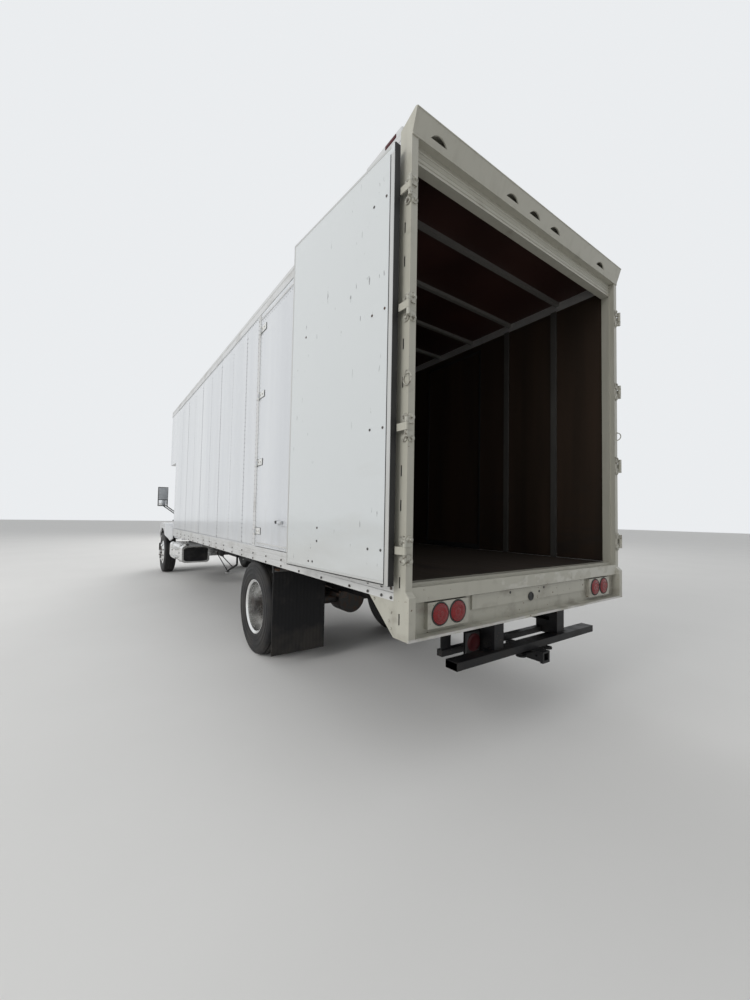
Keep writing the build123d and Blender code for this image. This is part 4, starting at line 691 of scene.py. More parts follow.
# The panel's hinge edge is near-black: seal rubber and painted shadow of the gap by the post.
hinge_seal_and_shadow = panel.y > ahead(0.068)
surface = hinge_seal_and_shadow.mix((scrape * 0.75).mix(tint, 0.13), 0.012)
panel.feed(color=(panel.y > ahead(0.0595)).mix(surface, DULL_YELLOW), coat=0.6 - hinge_seal_and_shadow * 0.6,
           roughness=cloud * 0.1 + fine * 0.06 + 0.05 + film * 0.2 + hinge_seal_and_shadow * 0.45)
panel.bump(cloud + fine * 0.02 - scrape * 0.05, 0.006, 0.35)
dress(panel, "rear_door_left", "rear_door_right")
seal_rubber = Finish("seal_rubber", color=0.018)
seal_rubber.feed(roughness=seal_rubber.noise(30.0, (1, 1, 0.1)) * 0.3 + 0.35)
edge_metal = Finish("edge_aluminium", color=(0.60, 0.60, 0.58), metallic=0.8)
edge_metal.feed(roughness=edge_metal.noise(60.0, (1, 1, 0.03)) * 0.3 + 0.2)
edge_metal.bump(edge_metal.noise(70.0, (1, 1, 0.02)), 0.0006, 0.4)
BETWEEN = 0.020, 1.198
HOLES = ((1.045, 2.803), (1.164, 2.804), (0.230, 2.942), (1.043, 2.087), (1.164, 2.083), (0.459, 1.468),
         (0.458, 1.373), (1.044, 1.359), (1.165, 1.360), (0.349, 1.220), (0.404, 1.222), (1.046, 3.500),
         (1.164, 3.500))
door_parts = built(
    (edge_metal, block, "hinge_seal", (1.205, 1.236), (DOOR_BED, 0.0395), (DOOR_LOW + 0.004, SEAL_TOP),
     0.003, 3),
    (seal_rubber, block, "seal_strip", (1.196, 1.206), (DOOR_BED, 0.0375), (DOOR_LOW + 0.01, SEAL_TOP),
     0.001),
    (edge_metal, block, "free_edge", (0.004, 0.020), (DOOR_BED, 0.0355), (DOOR_LOW, DOOR_HIGH), 0.0005),
    (edge_metal, block, "foot_strip", BETWEEN, (DOOR_BED, 0.038), (DOOR_LOW, DOOR_LOW + 0.024), 0.0015),
    (seal_rubber, block, "foot_seal", BETWEEN, (0.037, 0.040), (DOOR_LOW + 0.004, DOOR_LOW + 0.011), 0.001),
    (edge_metal, block, "head_strip", BETWEEN, (DOOR_BED, 0.0355), (DOOR_HIGH - 0.016, DOOR_HIGH), 0.0005),
    *((bolt_steel, disc, "bolt_end", at(x, DOOR_INNER + 0.0012, height), Y, 0.0085, 0.003, 16, 0.001)
      for x, height in HOLES))
paired("door_trim", door_parts, "rear_door_left", "trim_plastic", matrix=swing)


# Door locks: bright zinc lock rods that run the doors' full height in their guides, with a hinged
# handle in a hasp. They lie between the open doors and the walls.
zinc = Finish("zinc_steel", metallic=0.85)
spangle = zinc.node("ShaderNodeTexVoronoi", {"Vector": zinc.place, "Scale": 90.0})
zinc.feed(color=spangle.mix((0.36, 0.36, 0.35), (0.60, 0.60, 0.58)), roughness=spangle * 0.3 + 0.28)
dress(zinc, "lock_rod_left", "lock_rod_right")
ROD_X = 0.400
lock_parts = [disc("guide_bolt", at(x, -0.0365, 1.25 + n * 0.6125), Y, 0.006, 0.005, 6, 0.0015)
              for n in range(5) for x in about(ROD_X, 0.020)]
lock_parts += [disc("rod_cam", at(ROD_X, -0.028, height), Z, 0.019, 0.030, 24, 0.004, 2)
               for height in (DOOR_LOW + 0.030, DOOR_HIGH - 0.030)]
paired("lock_trim", lock_parts, "rear_door_left", "hinge_steel", finish=zinc, matrix=swing)


# Side doors: flush white slabs with riveted edges on four strap hinges, a kick rail at the foot, and
# a jamb channel and header of aluminium on the wall round them.
DOOR_FACE = 1.292
DOOR_Z = 1.213, 3.717
DOOR_GAP = SIDE_DOOR[0] - 0.014, SIDE_DOOR[1] + 0.014
dress(sheet("side_door_sheet"), "side_door_left", "side_door_right")


def picked(piece, wanted):
    """A piece in edit mode, with the faces selected that a test wants."""
    take(piece)
    for face in piece.data.polygons:
        face.select = wanted(face)
    bpy.ops.object.mode_set(mode="EDIT")
    bpy.ops.mesh.select_mode(type="FACE")
    return piece


def recessed(name, across, along, tall, edge, rim, depth):
    """A block with a panel sunk in its outer face, inside a rim."""
    piece = picked(block(name, across, along, tall, edge), lambda face: face.normal.x > 0.95)
    bpy.ops.mesh.inset(thickness=rim)
    bpy.ops.transform.translate(value=(-depth, 0, 0))
    bpy.ops.object.mode_set(mode="OBJECT")
    return piece


def proud(name, face, low, high, *rest):
    """A block that stands on a face of the side, from one height over it to another."""
    return block(name, (face + low, face + high), *rest)


side_rivet = disc("side_rivet", (WALL_FACE + 0.0055, 0, 0), X, 0.0048, 0.003, 8, 0.0015)
paired("side_jamb", built(
    (metal_rail, recessed, "jamb_channel", (WALL_FACE, WALL_FACE + 0.0045), (2.585, 2.662),
     (WALL_LOW + 0.006, WALL_TOP - 0.004), 0.0015, 0.016, 0.003),
    *((seal_rubber, block, "door_stop_seal", (1.2425, 1.2512), along, tall, 0.003) for along, tall in (
        (DOOR_GAP, (DOOR_Z[0] - 0.042, DOOR_Z[0] + 0.020)),
        (DOOR_GAP, (DOOR_Z[1] - 0.020, DOOR_Z[1] + 0.012)),
        (about(SIDE_DOOR[0], 0.016), DOOR_Z), (about(SIDE_DOOR[1], 0.016), DOOR_Z))),
    (metal_rail, proud, "door_header", WALL_FACE, 0, 0.004, (1.590, 2.585), (3.730, 3.752), 0.0015),
    (metal_rail, proud, "rear_jamb", WALL_FACE, 0, 0.003, (1.590, 1.614), (WALL_LOW + 0.006, 3.732), 0.001),
    *((rivet_dirt_and_shadow, row, side_rivet, 51, (0, 0, 0.050), at(0, place, RIVET_LOW)) for place in (2.592, 2.655)),
), "truck", "rail_aluminium")
leaf_parts = built(
    *((rivet_dirt_and_shadow, row, side_rivet, 48, (0, 0, 0.051), at(-0.0025, place, 1.27))
      for place in (1.642, 2.546)),
    *((rivet_dirt_and_shadow, row, side_rivet, 17, (0, -0.052, 0), at(-0.0025, 1.68, height))
      for height in (1.234, 3.694)),
    (metal_rail, proud, "kick_rail", DOOR_FACE, -0.001, 0.0035, (1.650, 2.545), (1.246, 1.262), 0.0015),
    (zinc, disc, "latch_boss", at(DOOR_FACE + 0.034, 1.79, 1.485), X, 0.012, 0.006, 20, 0.002),
    (black_rubber, proud, "latch_grip", DOOR_FACE, 0.010, 0.036, (1.885, 1.935), (1.470, 1.500), 0.005, 3))
# Each strap plate sits on a slightly larger near-black block, a painted shadow outline round the strap.
for height in (1.379, 2.122, 2.864, 3.607):
    leaf_parts += built(
        (seal_rubber, proud, "strap_gasket", DOOR_FACE, -0.001, 0.003, (2.409, 2.552), about(height, 0.037),
         0.001),
        (strap_steel, proud, "strap_plate", DOOR_FACE, 0.002, 0.0095, (2.413, 2.550), about(height, 0.033),
         0.002),
        *((hinge_steel, disc, "strap_bolt", at(DOOR_FACE + 0.011, place, height), X, 0.0085, 0.005, 6, 0.002)
          for place in (2.515, 2.455)))
paired("side_door_trim", leaf_parts, "side_door_left", "white_skin")
discarded(side_rivet)


# Tow hitch: welded black steel tube and plate, scuffed grey along its edges and dusty on top, with
# bolts through its side plates and a weld bead round the receiver.
black_steel = Finish("black_steel", specular=0.25)
dust = black_steel.noise(7.0, detail=7.0).ramp(0.48, 0.75)
scar = black_steel.noise(38.0, (1, 1, 2), 5.0).ramp(0.64, 0.70)
tone = (dust * 0.5).mix((0.006, 0.006, 0.007), (0.040, 0.036, 0.031))
black_steel.feed(color=(scar * 0.6).mix(tone, (0.06, 0.034, 0.022)), roughness=dust * 0.3 + 0.42)
black_steel.bump(black_steel.noise(60.0) * 0.5 + scar, 0.0012, 0.5)
dress(black_steel, "tow_hitch", "flap_brackets", "chassis_frame")
hitch_parts = []
for side in SIDES:
    hitch_parts += [disc("hitch_bolt", at(side * 0.448, distance, height), X, 0.014, 0.012, 6, 0.003)
                    for height in (0.68, 0.86) for distance in (0.09, 0.25)]
    hitch_parts += [block("weld_bead", about(side * 0.040, 0.005), (-0.040, 0.015), (0.584, 0.594), 0.004, 3),
                    block("end_cap", (side * 0.8475, side * 0.850), (0.0175, 0.1165), (0.592, 0.640), 0.001)]
fixed("hitch_bolts", hitch_parts, "truck", "chassis_black", finish=black_steel)


# Mud flaps: thick black rubber sheet, ribbed and dusty, clamped under a steel strip with five bolts
# to the bars behind the rear wheels.
flap = Finish("flap_rubber", specular=0.25)
splash = (flap.noise(4.0, detail=8.0) - flap.z.ramp(0.1, 1.0) * 0.2).ramp(0.40, 0.62)
flap.feed(color=(splash * 0.5).mix((0.011, 0.011, 0.012), (0.07, 0.063, 0.055)),
          roughness=splash * 0.25 + 0.5)
flap.bump(flap.x.folds(0.02) * 40.0, 0.002, 0.6)
dress(flap, "mud_flaps")
clamp_parts = [block("clamp_strip", (0.650, 1.225), (2.155, 2.160), (0.975, 1.010), 0.0015)]
clamp_parts += [disc("clamp_bolt", at(0.70 + 0.12 * n, 2.152, 0.992), Y, 0.011, 0.009, 6, 0.002)
                for n in range(5)]
paired("flap_clamp", clamp_parts, "truck", "chassis_black", finish=bolt_steel)


# Tyres: black ribbed highway tyres, four grooves round the tread and notched shoulders, with a
# rubbing rib on each wall. They are dusty, and browned near the rims.
FRONT, OUTER, INNER = at(1.062, 10.200, 0.518), at(1.100, 2.750, 0.518), at(0.770, 2.750, 0.518)
rubber = Finish("tyre_rubber", specular=0.3)
fine_dust = rubber.noise(70.0, detail=4.0)
road_dust = rubber.noise(5.0, detail=8.0).ramp(0.4, 0.75)
rubber.feed(color=(road_dust * 0.5).mix((0.011, 0.011, 0.012), (0.050, 0.044, 0.037)),
            roughness=fine_dust * 0.2 + 0.45)
rubber.bump(fine_dust, 0.0006, 0.5)
half_tread = [(-0.112, 0.287), (-0.119, 0.297), (-0.126, 0.314), (-0.129, 0.316), (-0.130, 0.320),
              (-0.129, 0.324), (-0.134, 0.348), (-0.1358, 0.362), (-0.1375, 0.364), (-0.138, 0.368),
              (-0.1366, 0.371), (-0.1376, 0.390), (-0.138, 0.410), (-0.1395, 0.414), (-0.1395, 0.424),
              (-0.137, 0.428), (-0.1342, 0.452), (-0.1352, 0.455), (-0.1346, 0.461), (-0.1322, 0.463),
              (-0.127, 0.486), (-0.121, 0.500), (-0.113, 0.5095), (-0.102, 0.514), (-0.083, 0.516),
              (-0.0815, 0.504), (-0.0725, 0.504), (-0.071, 0.5165), (-0.034, 0.5178), (-0.0325, 0.5045),
              (-0.0225, 0.5045), (-0.021, 0.518)]
other_half = [(-along, radius) for along, radius in reversed(half_tread)]
tyre = lathe("tyre", half_tread + other_half + half_tread[:1], (0, 0, 0), X, 96)


def notched(face):
    """Every third face round the shoulders."""
    x, y, z = face.center
    place = round(math.atan2(y, z) / math.tau * 96 - 0.5)
    return 0.500 < math.hypot(y, z) < 0.5138 and 0.104 < abs(x) < 0.122 and place % 3 == 0


picked(tyre, notched)
bpy.ops.mesh.extrude_region_shrink_fatten(TRANSFORM_OT_shrink_fatten={"value": -0.006})
bpy.ops.object.mode_set(mode="OBJECT")
for name, places, body, node in (("front_tyre_rubber", [FRONT], "front_wheel_left", "front_tyre_left"),
                                 ("rear_tyre_rubber", [OUTER, INNER], "rear_wheels_left", "rear_tyres_left")):
    paired(name, [copied(tyre, place) for place in places], body, "tyre_rubber", node, finish=rubber)
discarded(tyre)


# Wheels: disc wheels pressed over at their rims, with ten hand holes, on ten nuts. The dished outer
# rear barrels are polished, and the faces inside the dish and the inner wheels are darker: brake
# dust and painted shade. Hubs and drums are cast iron.
polish = Finish("polished_aluminium", metallic=0.95)
haze = polish.noise(12.0, detail=7.0).ramp(0.45, 0.8)
polish.feed(color=(haze * 0.35).mix((0.82, 0.82, 0.81), (0.52, 0.50, 0.46)),
            roughness=haze * 0.2 + polish.noise(80.0) * 0.06 + 0.16)
disc_dust_and_shade = worn("disc_dust_and_painted_shade", (0.44, 0.43, 0.41), (0.66, 0.65, 0.63), 18.0, detail=7.0, rough=(0.24, 0.15),
                 metallic=0.9)
iron = Finish("cast_iron", metallic=0.4)
iron_rust = iron.noise(15.0, detail=8.0).ramp(0.45, 0.7)
iron.feed(color=(iron_rust * 0.7).mix((0.05, 0.048, 0.046), (0.13, 0.062, 0.032)),
          roughness=iron_rust * 0.25 + 0.5)
iron.bump(iron.noise(55.0, detail=5.0), 0.002, 0.6)


def circle(count, radius, x, first=0.0):
    """Places on a circle about the axle."""
    turns = [math.tau * (n + first) / count for n in range(count)]
    return [Vector((x, radius * math.sin(turn), radius * math.cos(turn))) for turn in turns]


def turned(name, *points, steps=64):
    """A piece lathed about the axle."""
    return lathe(name, points, (0, 0, 0), X, steps)


plain_rim = turned(
    "plain_rim", (-0.113, 0.298), (-0.112, 0.286), (0.112, 0.286), (0.113, 0.298), (0.117, 0.3005),
    (0.1205, 0.298), (0.121, 0.290), (0.119, 0.279), (0.124, 0.266), (0.142, 0.238), (0.157, 0.208),
    (0.1635, 0.191), (0.165, 0.182), (0.165, 0.118), (0.143, 0.118), (0.143, 0.176), (0.137, 0.198),
    (0.116, 0.240), (0.100, 0.262), (0.092, 0.268), (-0.092, 0.268), (-0.106, 0.270), (-0.113, 0.277),
    (-0.1175, 0.288), (-0.1215, 0.294), (-0.1205, 0.299), (-0.117, 0.3005), (-0.113, 0.298), steps=96)
hand_holes = joined("hand_holes", [disc("hole", place, X, 0.025, 0.12, 24)
                                   for place in circle(10, 0.229, 0.14)])
holed_rim = shaped(copied(plain_rim), "BOOLEAN", object=hand_holes, operation="DIFFERENCE", solver="EXACT")
painted(polish, holed_rim)
# Faces inside the dish take the darker finish: brake dust and painted shade.
holed_rim.data.materials.append(disc_dust_and_shade.material)
for face in holed_rim.data.polygons:
    in_dish_dust_and_shade = math.hypot(face.center.y, face.center.z) < 0.262 and face.center.x < 0.150 and face.normal.x < 0.3
    face.material_index = int(in_dish_dust_and_shade)
NUT_PARTS = (("wheel_nut", 0.012, 0.0175, 0.024, 6, 0.003), ("nut_flange", 0.002, 0.021, 0.004, 20, 0.0012),
             ("stud", 0.026, 0.009, 0.014, 12, 0.0015))
nuts = joined("wheel_nuts", painted(iron, *(
    disc(name, place + Vector((out, 0, 0)), X, *sizes) for place in circle(10, 0.1425, 0.0, 0.5)
    for name, out, *sizes in NUT_PARTS)))
valve, = painted(edge_metal, disc("valve_stem", (0.150, 0.0, 0.252), (1, 0, 0.25), 0.005, 0.060, 10, 0.001))
front_parts = [copied(holed_rim), copied(nuts, (0.165, 0, 0)), copied(valve)] + painted(
    iron,
    turned("front_hub", (-0.061, 0.0), (-0.061, 0.217), (-0.058, 0.2175), (-0.040, 0.213), (0.040, 0.213),
           (0.045, 0.2175), (0.079, 0.217), (0.082, 0.205), (0.083, 0.120), (0.140, 0.117), (0.166, 0.116),
           (0.168, 0.112), (0.172, 0.090), (0.175, 0.070), (0.176, 0.0)),
    *(disc("cap_bolt", place, X, 0.005, 0.006, 6, 0.001) for place in circle(6, 0.064, 0.183))) + painted(
    polish,
    turned("oil_cap", (0.172, 0.0), (0.172, 0.068), (0.180, 0.069), (0.182, 0.062), (0.205, 0.061),
           (0.211, 0.056), (0.2125, 0.040), (0.209, 0.036), (0.2085, 0.0), steps=48))
rear_parts = [mirrored(copied(holed_rim)), copied(nuts, (-0.143, 0, 0)), mirrored(valve)] + painted(
    disc_dust_and_shade, copied(plain_rim, INNER - OUTER)) + painted(
    iron,
    turned("rear_hub", (-0.425, 0.0), (-0.425, 0.217), (-0.420, 0.2175), (-0.395, 0.212), (-0.250, 0.212),
           (-0.240, 0.2175), (-0.205, 0.215), (-0.203, 0.118), (-0.143, 0.117), (-0.139, 0.110),
           (-0.133, 0.093), (-0.125, 0.086), (-0.037, 0.084), (-0.036, 0.094), (-0.033, 0.096),
           (-0.020, 0.096), (-0.016, 0.093), (-0.0155, 0.058), (-0.012, 0.050), (-0.0115, 0.0)),
    *(disc("hub_bolt", place, X, 0.009, 0.010, 6, 0.002) for place in circle(8, 0.078, -0.011)))
discarded(plain_rim, holed_rim, hand_holes, nuts)
for name, parts, centre, body in (("front_disc_wheel", front_parts, FRONT, "front_wheel_left"),
                                  ("rear_disc_wheels", rear_parts, OUTER, "rear_wheels_left")):
    paired(name, parts, body, "wheel_polish", body, matrix=Matrix.Translation(centre))


# Axles, springs and driveline: cast and forged iron, rusted and caked with road dirt. Each spring is
# a stack of leaves, held to its axle by two U-bolts over a plate.
dress(iron, "rear_axle", "front_axle", "knuckle_left", "knuckle_right", "tie_rod", "leaf_springs",
      "driveline")


def tube(name, points, radius, closed=False, sides=3):
    """A round bar bent along points, as a mesh."""
    line = bpy.data.curves.new(name, "CURVE")
    line.dimensions = "3D"
    line.bevel_depth = radius
    line.bevel_resolution = sides
    line.use_fill_caps = True
    run = line.splines.new("POLY")
    run.points.add(len(points) - 1)
    for point, place in zip(run.points, points):
        point.co = (*place, 1)
    run.use_cyclic_u = closed
    piece = bpy.data.objects.new(name, line)
    scene.collection.objects.link(piece)
    take(piece)
    bpy.ops.object.convert(target="MESH")
    return bpy.context.active_object


def rounded(points, radius, steps=5):
    """The corners of a closed outline, each turned into a short arc of points."""
    made = []
    for n, here in enumerate(points):
        before, after = points[n - 1], points[(n + 1) % len(points)]
        first = here + (before - here).normalized() * radius
        last = here + (after - here).normalized() * radius
        made += [first * (1 - t) ** 2 + here * 2 * t * (1 - t) + last * t ** 2
                 for t in (step / steps for step in range(steps + 1))]
    return made


SPRING_X = 0.430
spring_parts = []
for axle, top, leaves, pack in ((2.750, 0.690, 7, 0.085), (10.200, 0.575, 5, 0.070)):
    thick = pack / leaves
    low = top - pack - 0.125
    spring_parts += [block("leaf", about(SPRING_X, 0.047), about(axle, 0.625 - n * 0.52 / leaves),
                           about(top - thick * (n + 0.5), thick / 2 - 0.0008), 0.002) for n in range(leaves)]
    spring_parts += [tube("u_bolt", [at(SPRING_X + out, distance, z) for out, z in (
        (-0.055, low), (-0.055, top + 0.002), (-0.045, top + 0.012), (0.045, top + 0.012),
        (0.055, top + 0.002), (0.055, low))], 0.009) for distance in about(axle, 0.055)]
    spring_parts.append(block("clamp_plate", about(SPRING_X, 0.059), about(axle, 0.080),
                              (top - 0.001, top + 0.014), 0.004))
paired("spring_leaves", spring_parts, "truck", "spring_steel", finish=iron)


# Engine and radiator, under the hood: a painted iron block with a ribbed alloy rocker cover, an air
# hose and a filter can, behind a finned core.
engine_paint = Finish("engine_paint", metallic=0.2)
oil = engine_paint.noise(9.0, detail=7.0).ramp(0.5, 0.7)
engine_paint.feed(color=(oil * 0.6).mix((0.11, 0.11, 0.112), (0.030, 0.024, 0.018)),
                  roughness=oil * -0.2 + 0.55)
engine_paint.bump(engine_paint.noise(60.0, detail=4.0), 0.0015, 0.5)
dress(engine_paint, "engine_block")
fins = Finish("radiator_fins", metallic=0.6)
tube_line = fins.z.folds(0.012)
fins.feed(color=tube_line.ramp(0.0, 0.012).mix(0.02, 0.10), roughness=fins.noise(20.0) * 0.3 + 0.4)
fins.bump(fins.x.folds(0.006) * 120.0 + tube_line * 60.0, 0.002, 0.8)
dress(fins, "radiator")
FILTER_CAN = [(0.0, 0.0), (0.0, 0.075), (0.01, 0.085), (0.28, 0.085), (0.29, 0.080), (0.30, 0.050),
              (0.305, 0.0)]
AIR_PIPE = ((0.22, 10.70, 1.30), (0.24, 10.60, 1.385), (0.24, 10.45, 1.395), (0.24, 10.05, 1.395),
            (0.24, 9.95, 1.36))
fixed("engine_fittings", built(
    (polish, block, "rocker_cover", (-0.13, 0.13), (9.90, 10.62), (1.368, 1.425), 0.02, 3),
    *((polish, block, "cover_rib", (-0.115, 0.115), about(10.5925 - 0.08 * n, 0.0075), (1.424, 1.431), 0.002)
      for n in range(9)),
    (edge_metal, tube, "air_pipe", [at(*place) for place in AIR_PIPE], 0.034, False, 6),
    (black_steel, lathe, "filter_can", FILTER_CAN, at(-0.225, 10.45, 1.39), Y, 40),
), "truck", "cast_grey")


# Fuel tank and battery box: a polished tank under two steel bands with a screw cap, and a ribbed
# alloy box with a latched lid. Both carry steps with punched treads.
tank = Finish("tank_aluminium", specular=0.2)
tank_dust = tank.noise(7.0, (1, 0.5, 1), 5.0).ramp(0.4, 0.8)
wide, tall = (tank.x - 0.928) * (1 / 0.238), (tank.z - 0.694) * (1 / 0.146)
wide, tall = wide * wide, tall * tall
# The tank's rear end face is near-black and matt inside a bright rounded border: a painted dark reflection.
painted_dark_reflection = (tank.y > ahead(7.373)) * (wide * wide * wide + tall * tall * tall < 1)
tank.feed(color=painted_dark_reflection.mix((tank_dust * 0.4).mix((0.80, 0.80, 0.79), (0.50, 0.48, 0.44)),
                          tank_dust.mix((0.012, 0.012, 0.013), (0.045, 0.042, 0.038))),
          roughness=tank_dust * 0.15 + 0.14 + painted_dark_reflection * 0.4, metallic=0.95 - painted_dark_reflection * 0.95)
tank.bump(painted_dark_reflection * -1.0, 0.002, 0.6)
dress(tank, "fuel_tank")
dress(polish, "battery_box")
TANK_CAP = [(0.0, 0.0), (0.0, 0.058), (0.014, 0.058), (0.016, 0.046), (0.034, 0.045), (0.038, 0.040),
            (0.039, 0.0)]
tank_parts = built((edge_metal, lathe, "tank_cap", TANK_CAP, at(1.08, 7.62, 0.868), Z, 36))
for distance in 7.70, 8.60:
    tank_parts += built(
        (edge_metal, block, "tank_band", (0.652, 1.204), about(distance, 0.035), (0.512, 0.875), 0.070, 6),
        (iron, disc, "band_nut", at(1.205, distance, 0.70), X, 0.012, 0.012, 6, 0.003))
for side, start in ((1, 7.96), (-1, 8.16)):
    for height in (0.590, 0.770):
        tooth = block("tread_tooth", about(side * 1.240, 0.003), (start, start + 0.030),
                      (height - 0.001, height + 0.004), 0.001)
        tank_parts += built(*((edge_metal, row, tooth, 12, (0, -0.045, 0), (shift, 0, 0))
                              for shift in (-0.016, 0.0, 0.016)))
        discarded(tooth)
fixed("tank_bands_and_steps", tank_parts, "truck", "tank_polish")
lid_parts = [block("box_lid", (-1.184, -0.520), (8.096, 8.904), (0.846, 0.876), 0.010, 3)]
lid_parts += [block("lid_latch", (-1.186, -1.176), (8.21 + 0.26 * n, 8.24 + 0.26 * n), (0.80, 0.868), 0.004)
              for n in range(3)]
fixed("battery_lid", lid_parts, "truck", "tank_polish", finish=edge_metal)


# Hanger: a bent arm of black tube under the left frame rail, ahead of the rear axle, with a bright
# shoe at its foot and two thin stays running forward to a plate on the rail.
HANGER_X = 0.456
hanger_parts = [tube("hanger_arm", [at(HANGER_X, distance, height) for distance, height in (
    (6.040, 0.800), (6.035, 0.610), (6.060, 0.580), (6.660, 0.398))], 0.019, sides=5)]
hanger_parts += [tube("hanger_stay", [at(HANGER_X + 0.008, *end) for end in ends], 0.009)
                 for ends in (((6.640, 0.400), (7.430, 0.660)), ((6.300, 0.520), (7.110, 0.670)))]
hanger_parts += [block("hanger_plate", (HANGER_X - 0.022, HANGER_X - 0.012), along, tall, 0.003)
                 for along, tall in (((5.980, 6.100), (0.735, 0.860)), ((7.060, 7.490), (0.640, 0.800)))]
hanger_parts += [disc("hanger_bolt", at(HANGER_X - 0.008, distance, height), X, 0.011, 0.010, 6, 0.002)
                 for distance, height in ((6.000, 0.835), (6.080, 0.835), (7.100, 0.770), (7.450, 0.770))]
shoe = block("hanger_shoe", about(HANGER_X, 0.040), (6.600, 6.710), (0.350, 0.384), 0.008, 3)
fixed("frame_hanger", painted(black_steel, *hanger_parts) + painted(zinc, shoe), "truck", "chassis_black")


# Cab: a pressed steel shell in white enamel under clear coat, with rubber-set glass, lever handles on
# its doors, grab rails behind them, wipers under the screen and five amber lamps on the roof.
BELT, SHOULDER, CAB_FLOOR = 1.600, 2.370, 1.070
CAB_BACK, CAB_FRONT = 8.450, 9.590
CAB_LEAN = 0.090
SCREEN_FOOT, SCREEN_RAKE = 1.630, 0.345 / 0.830
enamel = Finish("cab_enamel")
mud = (enamel.noise(9.0, (1, 1, 0.8), 8.0) - enamel.z.ramp(0.75, 1.35) * 0.30).ramp(0.32, 0.75)
enamel.feed(color=(mud * 0.35).mix((0.66, 0.67, 0.68), (0.34, 0.31, 0.27)), roughness=mud * 0.4 + 0.16,
            coat=0.8 - mud * 0.6)
enamel.bump(enamel.noise(160.0, detail=2.0), 0.0002, 0.3)
dress(enamel, "cab_door_left", "cab_door_right", "hood")
shell = Finish("cab_shell_enamel")
behind_screen = shell.y + shell.z * -SCREEN_RAKE > ahead(CAB_FRONT - 0.045) - SCREEN_FOOT * SCREEN_RAKE
between_doors = shell.x.near(0.0, 0.980 - shell.z.ramp(BELT, SHOULDER) * CAB_LEAN)
lining = (between_doors * (shell.y > ahead(9.538)) * behind_screen * (shell.y < ahead(8.503))
          * (shell.z > CAB_FLOOR) * (shell.z < 2.408))
shell.feed(color=lining.mix((0.70, 0.71, 0.72), (0.10, 0.10, 0.105)), coat=0.8 - lining * 0.8,
           roughness=lining * 0.5 + shell.noise(4.0) * 0.1 + 0.14)
shell.bump(shell.noise(160.0), 0.0003, 0.3)
dress(shell, "cab_shell")
glass = Finish("window_glass", coat=1.0)
smear = glass.noise(14.0, (1, 1, 0.4), 7.0).ramp(0.5, 0.95)
glass.feed(color=(smear * 0.5).mix((0.03, 0.04, 0.04), (0.20, 0.20, 0.18)), roughness=smear * 0.25 + 0.03,
           alpha=smear * 0.12 + 0.36)
dress(glass, "door_glass_left", "door_glass_right", "cab_glass")


def on_screen(x, height, proud):
    """A point on the raked windscreen."""
    return at(x, CAB_FRONT + proud - (height - SCREEN_FOOT) * SCREEN_RAKE, height)


cab_seals = [tube("screen_rubber", rounded([on_screen(x, height, -0.006) for x, height in (
                 (-0.860, 1.670), (0.860, 1.670), (0.790, 2.330), (-0.790, 2.330))], 0.06), 0.013, True),
             tube("back_rubber", rounded([at(x, CAB_BACK + 0.004, height) for x, height in (
                 (-0.6, 1.7), (0.6, 1.7), (0.6, 2.24), (-0.6, 2.24))], 0.06), 0.012, True)]
WIPER_ARM = (0.0, 1.662, 0.012), (0.10, 1.690, 0.024), (0.40, 1.722, 0.018)
WIPER_BLADE = (0.12, 1.712, 0.009), (0.40, 1.722, 0.013), (0.68, 1.716, 0.009)
cab_seals += [tube(name, [on_screen(pivot + x, height, proud) for x, height, proud in places], radius)
              for pivot in (-0.60, 0.08)
              for name, places, radius in (("wiper_arm", WIPER_ARM, 0.006),
                                           ("wiper_blade", WIPER_BLADE, 0.007))]
cab_seals += [block("door_gap_rubber", about(side * 1.016, 0.002), about(distance, 0.004), (0.98, 1.58),
                    0.001)
              for side in SIDES for distance in (8.59, 9.52)]
fixed("cab_rubbers", cab_seals, "truck", "trim_plastic", finish=seal_rubber)
window = [at(1.010 - (height - BELT) * CAB_LEAN / (SHOULDER - BELT), distance, height)
          for distance, height in ((8.690, 1.660), (9.410, 1.660), (9.165, 2.260), (8.690, 2.260))]
paired("cab_door_trim", built(
    (black_rubber, recessed, "handle_cup", (1.012, 1.0215), (8.655, 8.800), (1.470, 1.540), 0.004, 0.008,
     0.007),
    (seal_rubber, tube, "window_rubber", rounded(window, 0.05), 0.011, True),
    (black_rubber, block, "lever", (1.018, 1.032), (8.668, 8.790), (1.512, 1.532), 0.006, 3),
    (edge_metal, disc, "lock_barrel", at(1.0215, 8.690, 1.450), X, 0.011, 0.004, 20, 0.001),
    (enamel, block, "side_crease", (1.0195, 1.0235), (8.62, 9.45), (1.285, 1.305), 0.0018, 3),
), "cab_door_left", "trim_plastic")
GRAB_RAIL = (1.018, 1.30), (1.058, 1.32), (1.062, 1.36), (1.062, 1.52), (1.058, 1.56), (1.018, 1.58)
fixed("grab_rails", [tube("rail", [at(side * x, 8.53, height) for x, height in GRAB_RAIL], 0.012, sides=5)
                     for side in SIDES], "truck", "mirror_black", finish=black_rubber)
amber = Finish("amber_lens", roughness=0.15, coat=1.0)
amber.feed(color=amber.noise(30.0).mix((0.60, 0.15, 0.012), (0.85, 0.30, 0.04)))
amber.bump(amber.x.folds(0.004) * 150.0, 0.001, 0.6)
lamp_bits = []
for x in (-0.72, -0.20, 0.0, 0.20, 0.72):
    height = 2.456 - 0.022 * (x / 0.72) ** 2
    lamp_bits += built(
        (black_rubber, block, "lamp_base", about(x, 0.062), (9.120, 9.200), (height - 0.004, height + 0.006),
         0.004),
        (amber, block, "lamp_dome", about(x, 0.050), (9.128, 9.192), (height + 0.004, height + 0.032), 0.016,
         4))
